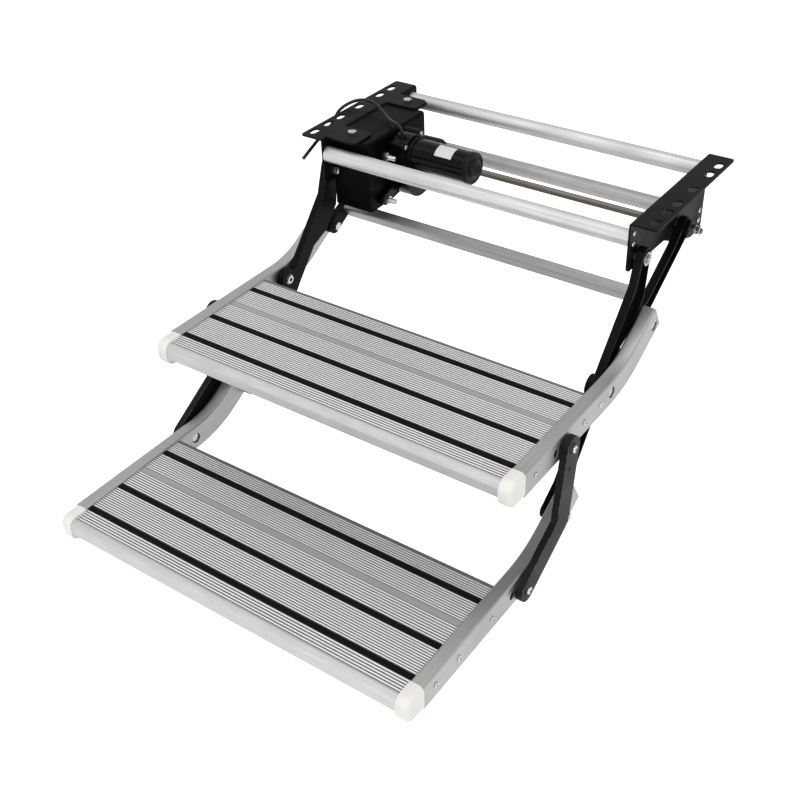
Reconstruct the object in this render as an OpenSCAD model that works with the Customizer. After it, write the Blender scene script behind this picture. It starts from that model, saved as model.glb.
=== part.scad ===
// Motor-driven double fold-out step for a caravan door.
// Millimetres, X across the step, Y to the rear, Z up; origin at the middle of the flange mounting plane.

/* [Treads] */
// Width of a tread over its two side rails
tread_w = 622; // [600:2:660]
// Nose of a deck ahead of its first grip strip
nose_l = 41; // [38:1:46]
// Rear edge of a deck behind its first grip strip
deck_back = 190; // [186:1:193]
// Height of a deck section
deck_h = 25; // [23:1:28]
// Radius of the rounded nose
nose_r = 10; // [7:1:12]
// Thickness of the deck skin
skin_t = 3.6; // [3.2:0.1:4.5]
// Thickness of the legs under a deck
leg_t = 2.5; // [2:0.1:3.5]
// Height of the grip ribs
rib_h = 1; // [0.6:0.1:1.3]
// Spacing of the grip ribs
rib_pitch = 4; // [3.5:0.25:6]
// Width of a grip strip
strip_w = 9; // [8:0.5:10]
// Height of a grip strip above the ribs
strip_rise = 0.8; // [0.3:0.1:1.5]
// Depth of a strip groove under the rib tops
groove_h = 2.2; // [1.8:0.1:2.5]
// Second grip strip behind the first
strip_2_y = 60; // [54:1:64]
// Plain band behind the first grip strip
band_y = 106.4; // [100:0.2:112]
// Width of the plain band
band_w = 10; // [8:0.5:12]
// Third grip strip behind the first
strip_3_y = 154.7; // [146:0.1:162]
// Screw ports under the deck, behind the first grip strip
port_y = [18.5, 71, 151.5];
// Depth of the screw ports under the rib tops
port_z = 18; // [17:0.5:19]

/* [Rails] */
// Width of a side rail
rail_w = 21; // [20:0.5:24]
// Height of a side rail
rail_h = 41; // [39:1:43]
// Wall of a side rail
rail_t = 2; // [1.6:0.1:2.5]
// Corner radius of a side rail
rail_r = 3; // [2.5:0.1:4]
// Height of a rail above the ribs
rail_top = 3; // [2:0.5:5]
// Front end of a rail ahead of the first grip strip
rail_front = 8; // [6:1:12]
// Corner of the rail bend behind the first grip strip
bend_y = 270; // [264:1:274]
// Upward bend of a rail
bend_a = 29; // [27:0.5:31]
// Middle radius of the bend
bend_r = 170; // [150:1:180]
// Upper rail length behind the bend corner
upper_tail = 112; // [108:1:125]
// Lower rail length behind the bend corner
lower_tail = 122; // [118:1:130]
// Length of an end cap
cap_l = 35; // [34:1:38]
// Corner radius of an end cap
cap_r = 10; // [6:1:12]

/* [Step geometry] */
// Upper tread's first strip ahead of the frame middle
upper_ahead = 462; // [456:1:468]
// Upper tread under the mounting plane
upper_drop = 193; // [189:1:197]
// Lower tread ahead of the upper tread
step_run = 235; // [231:1:239]
// Lower tread under the upper tread
step_rise = 176; // [172:1:180]
// Front lever pivot on the frame
lever_y = -103; // [-106:1:-100]
// Front lever pivot under the mounting plane
lever_drop = 63; // [60:1:66]
// Drive shaft on the frame
shaft_y = 37; // [34:1:40]
// Drive shaft under the mounting plane
shaft_drop = 77; // [75:1:79]
// Lever pivot on the upper tread
lever_back = 231; // [228:1:234]
// Lever pivot under the upper ribs
lever_under = 16; // [14:0.5:18]
// Rear arm pivot on the upper tread
arm_back = 358; // [355:0.5:360]
// Rear arm pivot above the upper ribs
arm_over = 26; // [24:0.5:28]
// Outer link pivot on the upper tread
link_back = 96; // [92:1:100]
// Outer link pivot under the upper ribs
link_under = 21; // [19:0.5:22]
// Lever pivot on the lower tread
foot_back = 349; // [346:1:352]
// Lever pivot above the lower ribs
foot_over = 14.5; // [13:0.5:16]
// Outer link pivot on the lower tread
heel_back = 223; // [220:1:226]
// Outer link pivot under the lower ribs
heel_under = 17.5; // [16:0.5:19]

/* [Frame] */
// Length of the frame
frame_l = 270; // [264:2:290]
// Sheet of the side plates and the motor bracket
sheet_t = 3; // [2.5:0.1:3.4]
// Width of a mounting flange outside its plate
flange_w = 40; // [38:1:46]
// Front drop of a side plate
plate_front_h = 79; // [77:1:84]
// Rear drop of a side plate
plate_rear_h = 126; // [122:1:130]
// Length of a fixing slot
slot_l = 21; // [19:1:23]
// Width of a fixing slot
slot_w = 12; // [11:0.5:13]
// Front fixing slots from the front end of the frame
slot_front = [25, 61, 93];
// Rear fixing slots from the rear end of the frame
slot_rear = [124.5, 66, 32.5];
// Fixing slots from the outer edge of a flange
slot_in = 12; // [10:0.5:14]
// Frame tube diameter
tube_d = 25; // [24:0.5:27]
// Frame tube wall
tube_t = 2; // [1.5:0.1:3]
// Arm tube along the arms
arm_tube_w = 17; // [16.5:0.5:18]
// Arm tube across the arms
arm_tube_h = 24; // [22:1:26]

/* [Arms] */
// Sheet of the levers, arms and links
arm_t = 3; // [2.5:0.1:3.5]
// Rim of the levers, arms and links
rim_t = 2.5; // [2:0.1:3]
// Depth of a lever or rear arm
arm_depth = 12.5; // [11.5:0.5:14]
// Depth of an outer link
link_depth = 10.5; // [9.5:0.5:13]
// Gap between a rail and the arms inside it
side_gap = 2; // [1.5:0.1:3]
// Gap between a rail and the link outside it
link_gap = 2.5; // [2.4:0.1:4]
// Gap between a side plate and the arms
plate_gap = 3.5; // [3.2:0.1:5]
// Front lever behind its pivot line
lever_rear = 30; // [26:1:32]
// Front lever ahead of its pivot line
lever_fore = 1; // [0.5:0.5:2]
// Upper limb of the front levers: rear edge behind the line of its pivots
limb_rear = 47; // [44:1:49]
// Upper limb of the front levers: front edge behind the line of its pivots
limb_front = 4; // [2:0.5:5]
// Rear arm behind its pivot line
arm_rear = 15; // [13:1:17]
// Rear arm ahead of its pivot line
arm_fore = 8; // [6:1:12]
// Half width of an outer link
link_half = 18; // [16:1:20]
// Pivot bolt diameter
bolt_d = 8; // [7:0.5:9]
// Bush diameter
bush_d = 16; // [14:0.5:17]

/* [Drive] */
// Drive shaft across its flats
hex_af = 11; // [10:0.5:11.5]
// Motor axis on the frame
motor_y = -22; // [-24:1:-20]
// Motor axis under the mounting plane
motor_drop = 41; // [40:0.5:43]
// Motor diameter
motor_d = 51; // [49:1:54]
// Gearbox outer face left of the middle
gear_x = 197; // [194:1:202]
// Gearbox housing depth
gear_depth = 29; // [28:0.5:32]
// Motor can length
can_l = 98; // [94:1:104]
// Motor end cap length
end_l = 12; // [12:1:16]
// Motor pinion and first gear teeth
stage_1 = [12, 46];
// First stage module
module_1 = 1.5; // [1.4:0.05:1.6]
// Second pinion and output gear teeth
stage_2 = [14, 36];
// Second stage module
module_2 = 1.75; // [1.7:0.05:1.85]
// Cable diameter
cable_d = 5.5; // [5:0.5:6]

/* [Hidden] */
$fn = 48;
// Fits: running bores, held bores, clear holes and end play
run_fit = 0.16;
held_fit = 0.04;
clear_fit = 0.5;
play = 0.3;
backlash = 0.3;
// Overlap of pieces welded or formed as one
lap = 0.5;
// Layers across the step, right hand side
rail_out = tread_w/2;
rail_in = rail_out - rail_w;
arm_out = rail_in - side_gap;
arm_in = arm_out - arm_depth;
plate_out = arm_in - plate_gap;
plate_in = plate_out - sheet_t;
link_in = rail_out + link_gap;
link_out = link_in + link_depth;
flange_out = plate_out + flange_w;
slot_x = flange_out - slot_in;
slot_y = concat([for (s = slot_front) s - frame_l/2], [for (s = slot_rear) frame_l/2 - s]);
flange_inset = 4;
flange_r = 5;
plate_bend = 4;
// Treads: first grip strip at the rib tops
upper = [-upper_ahead, -upper_drop];
lower = upper - [step_run, step_rise];
rail_mid = rail_top - rail_h/2;
// Pivots as [y, z]
pivot_a1 = [lever_y, -lever_drop];
pivot_a2 = [shaft_y, -shaft_drop];
pivot_b1 = upper + [lever_back, -lever_under];
pivot_b2 = upper + [arm_back, arm_over];
pivot_c = upper + [link_back, -link_under];
pivot_d1 = lower + [foot_back, foot_over];
pivot_d2 = lower + [heel_back, -heel_under];
link_bend = [-18, -118];
elbow = pivot_c + link_bend;
link_ring = [19, 0.8];
link_face = link_out + link_ring[1];
link_hole = [-9, -28];
link_hole_d = 6;
// Lever and arm outlines: straight runs from the pivots and metal around the bushes
lever_run = [46, 40, 45];
limb_run = [92, 126];
lever_boss = [8, 9, 6];
arm_run = [40, 36];
arm_boss = [7, 6];
// Side plate outline
plate_inset = 5;
plate_r = 8;
plate_belly = [[-8, -4], [38, -27]];
plate_heel = 98;
// Screws, nuts and heads
screw_d = 4.8;
screw_head_d = 9;
screw_head_h = 2;
screw_l = 25;
port_r = 4.6;
head_af = 13;
head_h = 5.3;
nut_h = 6.5;
thread_past = 1;
head_sink = 1.5;
low_head = 2;
low_nut = 4.5;
nut_flange = [21, 1.5];
button_d = 11.5;
button_h = 3;
access_d = 17;
port_hole_d = 12;
rivet_d = 5;
rivet_back = 199.5;
// Frame tubes as [y, z], and the screws in their ends
tube_front = [-118.5, -29];
tube_top = [121, -20.5];
tube_low = [121, -98];
frame_tubes = [tube_front, tube_top, tube_low];
tube_port = [0, tube_d/2 - 4];
tube_port_r = 3.4;
tube_screw_d = 4;
tube_screw_head = 8;
arm_tube_port = (arm_tube_w/2 - 3.9)*unit(pivot_b2 - pivot_a2);
arm_tube_r = 2.5;
arm_tube_port_r = 3;
arm_tube_back = 40;
arm_tube_low = 5;
// Motor bracket and its ears
ear_l = 56;
ear_x0 = plate_in - ear_l;
ear_r = 9;
ear_front = [-118, -68];
ear_rear = [48, 88];
wall_front_y = -104;
wall_rear_y = 50;
bracket_h = 122;
bracket_rise = 17;
tab_l = 36;
bracket_foot = 55;
bracket_gap = 0.5;
bracket_bend = 5;
head_room = 3;
shaft_room = 14;
ear_bolt_in = 27;
ear_bolt_x = plate_in - ear_bolt_in;
ear_bolt_y = [-86, 69];
bracket_in = plate_in - bracket_gap;
// Gearbox
cover_t = 4;
gear_wall = 2.5;
housing_in = gear_x - gear_wall;
cover_x = gear_x - gear_depth;
motor_x = cover_x - cover_t;
clamp_l = 7;
can_x = motor_x - clamp_l;
end_x = can_x - can_l;
motor_at = [motor_y, -motor_drop];
centre_1 = module_1*(stage_1[0] + stage_1[1])/2;
centre_2 = module_2*(stage_2[0] + stage_2[1])/2;
idle_at = meet(motor_at, pivot_a2, centre_1, centre_2);
level_1 = [cover_x + 3, 9];
level_2 = [cover_x + 14, 10];
spindle_d = 8;
rotor_shaft_d = 8;
bearing_d = 16;
commutator_d = 22;
// Lugs on the bracket wall and lugs of the cover screws
lug_rise = 13;
lug_low = [-72, lug_rise - bracket_h];
lug_high = [-70, -34];
lug_r = 10;
lug_t = 8;
lug_arm = 8;
lug_past = 20;
cover_lug_r = 6;
cover_lug_out = 1;
cover_lug_a = [143, 58, -20];
gear_r1 = module_1*stage_1[1]/2 + module_1 + 1.2 + gear_wall;
gear_r2 = module_2*stage_2[1]/2 + module_2 + 1.2 + gear_wall;
gear_r0 = motor_d/2 + 6;
lug_root = gear_r1 - gear_wall;
hex_r = hex_af/sqrt(3);
shaft_bush_d = 18;
shaft_boss_d = 22;
thread_d = 8;
boss_out = 6;
shaft_end = arm_out + boss_out;
shaft_tail = 18;
// Castle nut and clip on the shaft
castle_h = 8;
castle_top = 12;
castle_slot = 2.8;
clip_d = 2.4;
clip_in = 14.5;
clip_reach = 8.6;
// Cable: rounded route from the gland to the cut end
cable_ring = 10;
gland_d = 11;
gland_h = 5;
gland_foot = 4;
gland_at = [-181, -34];
gland_z = motor_at[1] + sqrt(pow(gear_r0, 2) - pow(gland_at[1] - motor_at[0], 2));
cable_route = [
  concat(gland_at, gland_z + gland_h), [-181, -34, -2.8], [-183.4, -33.4, 1.4], [-189, -31.8, 4.2],
  [-197, -28.6, 5], [-208, -23, 4.2], [-220, -15.5, 3.4], [-233, -7, 4.2], [-246, 0.8, 6.4],
  [-259, 7.2, 9.2], [-272, 11.3, 11.3], [-284, 12.5, 12], [-295, 10.6, 11.4], [-304.5, 5, 9.6], [-311, -4, 7],
  [-315.3, -13.5, 3.6], [-317.2, -23, -0.2], [-315.6, -32.5, -3.8], [-311, -43, -6.4], [-306.5, -56, -8.4],
  [-303.5, -71, -10.6], [-301.5, -88, -14], [-300.3, -105, -18.8], [-299.8, -120, -24.4],
  [-299.8, -133, -30], [-300, -144, -35]
];

// Sub-part to draw

// Geometry helpers
function unit(v) = v/norm(v);
function heading(v) = atan2(v[1], v[0]);
function fore(v) = [unit(v)[1], -unit(v)[0]];
function arc(c, r, a0, a1, n = 12) =
  [for (i = [0:n]) let (a = a0 + (a1 - a0)*i/n) c + r*[cos(a), sin(a)]];
function meet(p, q, r1, r2) =
  let (d = norm(q - p), e = unit(q - p), a = (r1*r1 - r2*r2 + d*d)/(2*d), h = sqrt(r1*r1 - a*a))
  p + a*e + h*[e[1], -e[0]];
function rounded(w, h, r, n = 4) = concat(
  arc([w/2 - r, h/2 - r], r, 0, 90, n), arc([r - w/2, h/2 - r], r, 90, 180, n),
  arc([r - w/2, r - h/2], r, 180, 270, n), arc([w/2 - r, r - h/2], r, 270, 360, n));

module along_x(x0, len) {
  translate([x0, 0, 0]) rotate([90, 0, 90]) linear_extrude(len) children();
}
module rod(x0, x1, d, at) {
  translate([x0, at[0], at[1]]) rotate([0, 90, 0]) cylinder(d = d, h = x1 - x0);
}
module hex_rod(x0, x1, af, at) {
  translate([x0, at[0], at[1]]) rotate([0, 90, 0]) cylinder(d = 2*af/sqrt(3), h = x1 - x0, $fn = 6);
}
module pipe(x0, x1, d, bore, at) {
  difference() {
    rod(x0, x1, d, at);
    rod(x0 - 1, x1 + 1, bore, at);
  }
}
module left() {
  mirror([1, 0, 0]) children();
}
module both() {
  children();
  left() children();
}
module steel() {
  color([0.13, 0.13, 0.14]) children();
}
module zinc() {
  color([0.72, 0.72, 0.7]) children();
}
module alloy() {
  color([0.66, 0.67, 0.68]) children();
}

// Side plates
function plate_outline() = let (e = frame_l/2, r = plate_r, front = [0, -plate_front_h]) concat(
  [[-e + plate_inset, -sheet_t/2]],
  arc([-e + plate_inset + r, -plate_front_h + r], r, 180, 270, 5),
  [front + plate_belly[0], front + plate_belly[1], [plate_heel, -plate_rear_h]],
  arc([e - r, -plate_rear_h + r], r, 270, 360, 5),
  [[e, -sheet_t/2]]);

function flange_outline() = let (y0 = flange_inset - frame_l/2, y1 = frame_l/2, x = flange_out - flange_r)
  concat([[plate_in, y1], [plate_in, y0]],
  arc([x, y0 + flange_r], flange_r, 270, 360, 4), arc([x, y1 - flange_r], flange_r, 0, 90, 4));

module slot(at) {
  run = (slot_l - slot_w)/2;
  translate([slot_x, at, -2*sheet_t]) {
    for (s = [-run, run]) translate([0, s, 0]) cylinder(d = slot_w, h = 3*sheet_t);
    translate([-slot_w/2, -run, 0]) cube([slot_w, 2*run, 3*sheet_t]);
  }
}
// Takes the corner off a bent edge along Y, material towards +X and -Z
module bend_cut(x, z, r, span) {
  difference() {
    translate([x - 1, span[0] - 1, z - r]) cube([r + 1, span[1] - span[0] + 2, r + 1]);
    translate([x + r, span[0] - 2, z - r]) rotate([-90, 0, 0]) cylinder(r = r, h = span[1] - span[0] + 4);
  }
}
module plate_body() {
  difference() {
    union() {
      difference() {
        union() {
          along_x(plate_in, sheet_t) polygon(plate_outline());
          translate([0, 0, -sheet_t]) linear_extrude(sheet_t) polygon(flange_outline());
        }
        bend_cut(plate_in, 0, plate_bend, [-frame_l/2, frame_l/2]);
      }
      children();
    }
    for (y = slot_y) slot(y);
    for (t = frame_tubes, p = [-tube_port, tube_port])
      rod(plate_in - 1, plate_out + 1, tube_screw_d + clear_fit, t + p);
    rod(plate_in - 1, plate_out + 1, bolt_d + held_fit, pivot_a1);
    rod(plate_in - 1, plate_out + 1, shaft_bush_d + run_fit, pivot_a2);
  }
}
module ear(span, bolt) {
  difference() {
    translate([0, 0, -sheet_t]) linear_extrude(sheet_t) polygon(concat(
      [[plate_in + plate_bend, span[0]]],
      arc([ear_x0 + ear_r, span[0] + ear_r], ear_r, 270, 180, 6),
      arc([ear_x0 + ear_r, span[1] - ear_r], ear_r, 180, 90, 6),
      [[plate_in + plate_bend, span[1]]]));
    translate([ear_bolt_x, bolt, -2*sheet_t]) cylinder(d = bolt_d + clear_fit, h = 3*sheet_t);
  }
}
module right_side_plate() {
  steel() plate_body();
}
module left_side_plate() {
  steel() left() plate_body() {
    ear(ear_front, ear_bolt_y[0]);
    ear(ear_rear, ear_bolt_y[1]);
  }
}

// Cross tubes with screw ports
module ported_tube(at, half, d, wall, port, port_rad, hole) {
  difference() {
    union() {
      pipe(-half, half, d, d - 2*wall, at);
      for (p = [-port, port]) rod(-half, half, 2*port_rad, at + p);
    }
    for (p = [-port, port]) rod(-half - 1, half + 1, hole, at + p);
  }
}
module frame_tube(at) {
  color([0.75, 0.76, 0.77])
    ported_tube(at, plate_in, tube_d, tube_t, tube_port, tube_port_r, tube_screw_d + held_fit);
}
module front_cross_tube() {
  frame_tube(tube_front);
}
module rear_upper_tube() {
  frame_tube(tube_top);
}
module rear_lower_tube() {
  frame_tube(tube_low);
}
module end_screw(face, at, d, head) {
  rod(face - screw_l, face, d, at);
  rod(face, face + screw_head_h, head, at);
}
module frame_screws() {
  zinc() {
    both() for (t = frame_tubes, p = [-tube_port, tube_port])
      end_screw(plate_out, t + p, tube_screw_d, tube_screw_head);
    left() for (p = cover_lugs()) translate([2*motor_x, 0, 0]) left()
      end_screw(motor_x, p, tube_screw_d, tube_screw_head);
  }
}

// Motor bracket hung from the ears of the left plate
module motor_bracket() {
  top = -sheet_t;
  steel() left() difference() {
    union() {
      translate([gear_x, wall_front_y, -bracket_h]) cube([bracket_in - gear_x, sheet_t, bracket_h + top]);
      translate([gear_x, wall_rear_y, bracket_rise - bracket_h])
        cube([bracket_in - gear_x, sheet_t, bracket_h + top - bracket_rise]);
      along_x(gear_x, sheet_t) polygon([
        [wall_front_y, top], [wall_front_y, -bracket_h], [wall_front_y + bracket_foot, -bracket_h],
        [wall_rear_y + sheet_t, bracket_rise - bracket_h], [wall_rear_y + sheet_t, top]]);
      translate([gear_x, wall_front_y, top - sheet_t])
        cube([bracket_in - gear_x, wall_rear_y + sheet_t - wall_front_y, sheet_t]);
      translate([ear_x0, wall_rear_y, top - sheet_t]) cube([bracket_in - ear_x0, tab_l, sheet_t]);
    }
    for (y = ear_bolt_y)
      translate([ear_bolt_x, y, top - 2*sheet_t]) cylinder(d = bolt_d + clear_fit, h = 3*sheet_t);
    bend_cut(gear_x, top, bracket_bend, [wall_front_y, wall_rear_y + sheet_t]);
    rod(plate_in - head_h - head_room, plate_in, 2*head_af/sqrt(3) + head_room, pivot_a1);
    rod(gear_x - 1, gear_x + sheet_t + 1, 2*hex_r + shaft_room, pivot_a2);
    rod(gear_x - 1, gear_x + sheet_t + 1, spindle_d + clear_fit, idle_at);
    for (p = [lug_low, lug_high]) rod(gear_x - 1, gear_x + sheet_t + 1, bolt_d + clear_fit, p);
  }
}
module bracket_bolts() {
  zinc() left() for (y = ear_bolt_y) translate([ear_bolt_x, y, 0]) {
    cylinder(d = 2*head_af/sqrt(3), h = 4, $fn = 6);
    translate([0, 0, -2*sheet_t - nut_h - 2]) cylinder(d = bolt_d, h = 2*sheet_t + nut_h + 2);
  }
}
module bracket_nut(y) {
  translate([ear_bolt_x, y, -2*sheet_t - nut_h]) difference() {
    cylinder(d = 2*head_af/sqrt(3), h = nut_h, $fn = 6);
    translate([0, 0, -1]) cylinder(d = bolt_d + held_fit, h = nut_h + 2);
  }
}

// Gearbox
function ray(a) = [cos(a), sin(a)];
function cover_lugs() = [
  motor_at + (gear_r0 + cover_lug_out)*ray(cover_lug_a[0]),
  motor_at + (gear_r0 + cover_lug_out)*ray(cover_lug_a[1]),
  pivot_a2 + (gear_r2 + cover_lug_out)*ray(cover_lug_a[2])];

module gear_outline(x0, len, inset) {
  hull() {
    rod(x0, x0 + len, 2*(gear_r0 - inset), motor_at);
    rod(x0, x0 + len, 2*(gear_r1 - inset), idle_at);
    rod(x0, x0 + len, 2*(gear_r2 - inset), pivot_a2);
  }
}
module wall_lug(at, hub, root) {
  d = unit(at - hub);
  rod(gear_x - lug_t, gear_x, 2*lug_r, at);
  along_x(gear_x - lug_t, lug_t) polygon([
    at + lug_arm*fore(d), at - lug_arm*fore(d),
    hub + root*d - lug_arm*fore(d), hub + root*d + lug_arm*fore(d)]);
}
module gear_holes(x0, len) {
  rod(x0, x0 + len, 2*hex_r + 4, pivot_a2);
  rod(x0, x0 + len, spindle_d + held_fit, idle_at);
}
module gearbox_housing() {
  color([0.1, 0.1, 0.11]) left() difference() {
    union() {
      gear_outline(cover_x, gear_depth, 0);
      wall_lug(lug_low, idle_at, lug_root);
      wall_lug(lug_high, motor_at, gear_r0 - gear_wall);
      for (p = cover_lugs()) rod(cover_x, gear_x, 2*cover_lug_r, p);
    }
    gear_outline(cover_x - 1, gear_depth - gear_wall + 1, gear_wall);
    gear_holes(cover_x - 1, gear_depth + 2);
    for (p = [lug_low, lug_high]) rod(gear_x - lug_t - 1, gear_x + 1, bolt_d + held_fit, p);
    for (p = cover_lugs()) rod(cover_x - 1, motor_x + screw_l + play, tube_screw_d + held_fit, p);
    translate([-gland_at[0], gland_at[1], gland_z - 8]) cylinder(d = cable_d + clear_fit, h = 12);
  }
}
module gearbox_cover() {
  color([0.12, 0.12, 0.13]) left() difference() {
    union() {
      gear_outline(motor_x, cover_t, 0);
      for (p = cover_lugs()) rod(motor_x, cover_x, 2*cover_lug_r, p);
    }
    gear_holes(motor_x - 1, cover_t + 2);
    for (p = cover_lugs()) rod(motor_x - 1, cover_x + 1, tube_screw_d + clear_fit, p);
    rod(motor_x - 1, cover_x + 1, bearing_d + held_fit, motor_at);
  }
}
module gearbox_bolts() {
  zinc() left() for (p = [lug_low, lug_high]) {
    rod(gear_x - lug_t - lug_past, gear_x + sheet_t, bolt_d, p);
    hex_rod(gear_x + sheet_t, gear_x + sheet_t + head_h, head_af, p);
  }
}
module gearbox_nuts() {
  zinc() left() for (p = [lug_low, lug_high]) nut(gear_x - lug_t - nut_h, p);
}

// Spur gears: involute flanks with backlash
function involute(rb, r) = let (t = sqrt(max(0, (r/rb)*(r/rb) - 1))) t*180/PI - atan(t);
function gear_tooth(z, m, a, pa = 25) =
  let (r = m*z/2, rb = r*cos(pa), ra = r + m, rf = r - 1.2*m, r0 = max(rb, rf + 0.05),
    half = 90/z - backlash/2/r*90/PI + involute(rb, r))
  concat(
    [rf*[cos(a - half), sin(a - half)]],
    [for (i = [0:4]) let (q = r0 + (ra - r0)*i/4, b = half - involute(rb, q)) q*[cos(a - b), sin(a - b)]],
    [for (i = [0:4]) let (q = ra - (ra - r0)*i/4, b = half - involute(rb, q)) q*[cos(a + b), sin(a + b)]],
    [rf*[cos(a + half), sin(a + half)]]);
module spur(level, z, m, at, a0) {
  along_x(level[0], level[1]) translate(at)
    polygon([for (k = [0:z - 1]) each gear_tooth(z, m, a0 + 360*k/z)]);
}
module motor_pinion() {
  zinc() left() difference() {
    spur(level_1, stage_1[0], module_1, motor_at, heading(idle_at - motor_at));
    rod(level_1[0] - 1, level_1[0] + level_1[1] + 1, rotor_shaft_d + held_fit, motor_at);
  }
}
module idler_gear() {
  color([0.6, 0.58, 0.5]) left() difference() {
    union() {
      spur(level_1, stage_1[1], module_1, idle_at, heading(motor_at - idle_at) + 180/stage_1[1]);
      spur(level_2, stage_2[0], module_2, idle_at, heading(pivot_a2 - idle_at));
      rod(level_1[0] - 1, level_2[0] + 1, module_2*stage_2[0]/2 + 4, idle_at);
    }
    rod(cover_x - 1, gear_x + 1, spindle_d + run_fit, idle_at);
  }
}
module output_gear() {
  color([0.6, 0.58, 0.5]) left() difference() {
    spur(level_2, stage_2[1], module_2, pivot_a2, heading(idle_at - pivot_a2) + 180/stage_2[1]);
    hex_rod(cover_x - 1, gear_x + 1, hex_af + held_fit, pivot_a2);
  }
}
module idler_spindle() {
  zinc() left() rod(motor_x, gear_x, spindle_d, idle_at);
}

// Motor
rotor_d = motor_d - 14;
can_t = 2;
module motor_clamp_ring() {
  steel() left() pipe(can_x, motor_x, motor_d + 4, bearing_d + 8, motor_at);
}
module motor_can() {
  color([0.05, 0.05, 0.055]) left() pipe(end_x, can_x, motor_d, motor_d - 2*can_t, motor_at);
}
module motor_magnets() {
  color([0.2, 0.2, 0.21]) left() difference() {
    pipe(end_x + 12, can_x - 8, motor_d - 2*can_t - held_fit, rotor_d + 3, motor_at);
    translate([end_x, motor_at[0] - motor_d, motor_at[1] - 7]) cube([can_l, 2*motor_d, 14]);
  }
}
module motor_end_cap() {
  color([0.06, 0.06, 0.065]) left() difference() {
    union() {
      rod(end_x - end_l, end_x, motor_d + 1, motor_at);
      rod(end_x, end_x + 5, motor_d - 2*can_t - held_fit, motor_at);
    }
    rod(end_x - end_l + 10, end_x + 6, motor_d - 8, motor_at);
    rod(end_x - end_l + 4, end_x - end_l + 11, bearing_d + held_fit, motor_at);
  }
}
module motor_bearings() {
  zinc() left() {
    pipe(motor_x, cover_x, bearing_d, rotor_shaft_d + run_fit, motor_at);
    pipe(end_x - end_l + 4, end_x - end_l + 10, bearing_d, rotor_shaft_d + run_fit, motor_at);
  }
}
module motor_armature() {
  color([0.55, 0.35, 0.2]) left() {
    rod(end_x + 14, can_x - 10, rotor_d, motor_at);
    rod(end_x - 1, end_x + 15, commutator_d, motor_at);
    rod(end_x - end_l + 5, level_1[0] + level_1[1], rotor_shaft_d, motor_at);
  }
}

// Cable and its gland
module cable_gland() {
  color([0.07, 0.07, 0.07]) translate([gland_at[0], gland_at[1], gland_z - gland_foot]) difference() {
    cylinder(d = gland_d, h = gland_h + gland_foot);
    translate([0, motor_at[0] - gland_at[1], motor_at[1] - gland_z + gland_foot]) rotate([0, 90, 0])
      cylinder(d = 2*gear_r0, h = 2*gland_d, center = true);
  }
}
function turn(i) = unit(cable_route[min(i + 1, len(cable_route) - 1)] - cable_route[max(i - 1, 0)]);
function side_of(i) = unit(cross(turn(i), [-0.4, 1, 0.35]));
function cable_ring_pts(i) = let (u = side_of(i), v = cross(turn(i), u))
  [for (k = [0:cable_ring - 1]) let (a = 360*k/cable_ring) cable_route[i] + cable_d/2*(cos(a)*u + sin(a)*v)];
module motor_cable() {
  n = len(cable_route);
  pts = [for (i = [0:n - 1]) each cable_ring_pts(i)];
  sides = [for (i = [0:n - 2], k = [0:cable_ring - 1]) let (a = i*cable_ring, b = (k + 1)%cable_ring)
    each [[a + k, a + cable_ring + b, a + b], [a + k, a + cable_ring + k, a + cable_ring + b]]];
  start = [for (k = [0:cable_ring - 1]) k];
  end = [for (k = [cable_ring - 1:-1:0]) (n - 1)*cable_ring + k];
  color([0.05, 0.05, 0.05]) polyhedron(points = pts, faces = concat(sides, [start, end]));
}

// Front levers
function lever_outline(e) = let (d1 = unit(pivot_b1 - pivot_a1), d2 = unit(pivot_d1 - pivot_b1),
    n1 = fore(d1), n2 = fore(d2), nm = unit(n1 + n2), h1 = heading(d1), h2 = heading(d2),
    ra = bush_d/2 + lever_boss[0] - e, rb = bush_d/2 + lever_boss[1] - e, rd = bush_d/2 + lever_boss[2] - e,
    f = lever_fore - e, s = lever_rear - e, limb_f = -limb_front - e, limb_s = limb_rear - e)
  concat(
    arc(pivot_a1, ra, h1 - 100, h1 - 270),
    [pivot_a1 + lever_run[0]*d1 - limb_s*n1, pivot_a1 + limb_run[0]*d1 - limb_s*n1,
      pivot_a1 + limb_run[1]*d1 - s*n1, pivot_b1 - s*nm, pivot_d1 - lever_run[1]*d2 - s*n2],
    arc(pivot_d1, rd, h2 + 80, h2 - 80),
    [pivot_d1 - lever_run[1]*d2 + f*n2],
    arc(pivot_b1, rb, h2 - asin(f/rb), h1 - 180 + asin(limb_f/rb)),
    [pivot_a1 + lever_run[2]*d1 + limb_f*n1]);
module channel(x0, depth, web_x) {
  difference() {
    along_x(x0, depth) children(0);
    translate([web_x, 0, 0]) along_x(x0, depth) children(1);
  }
}
module front_lever() {
  difference() {
    channel(arm_in, arm_depth, arm_t) {
      polygon(lever_outline(0));
      polygon(lever_outline(rim_t));
    }
    for (p = [pivot_a1, pivot_b1, pivot_d1]) rod(arm_in - 1, arm_out + 1, bush_d + held_fit, p);
  }
}
module right_front_lever() {
  steel() front_lever();
}
module left_front_lever() {
  steel() left() front_lever();
}
module lever_bushes() {
  zinc() both() for (p = [pivot_a1, pivot_b1, pivot_d1]) pipe(arm_in, arm_out, bush_d, bolt_d + run_fit, p);
}
module lever_pivot_bolts() {
  zinc() both() {
    rod(plate_in, arm_out + play + low_nut + thread_past, bolt_d, pivot_a1);
    hex_rod(plate_in - head_h, plate_in, head_af, pivot_a1);
  }
}
module nut(x0, at) {
  difference() {
    hex_rod(x0, x0 + nut_h, head_af, at);
    rod(x0 - 1, x0 + nut_h + 1, bolt_d + held_fit, at);
  }
}
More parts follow.
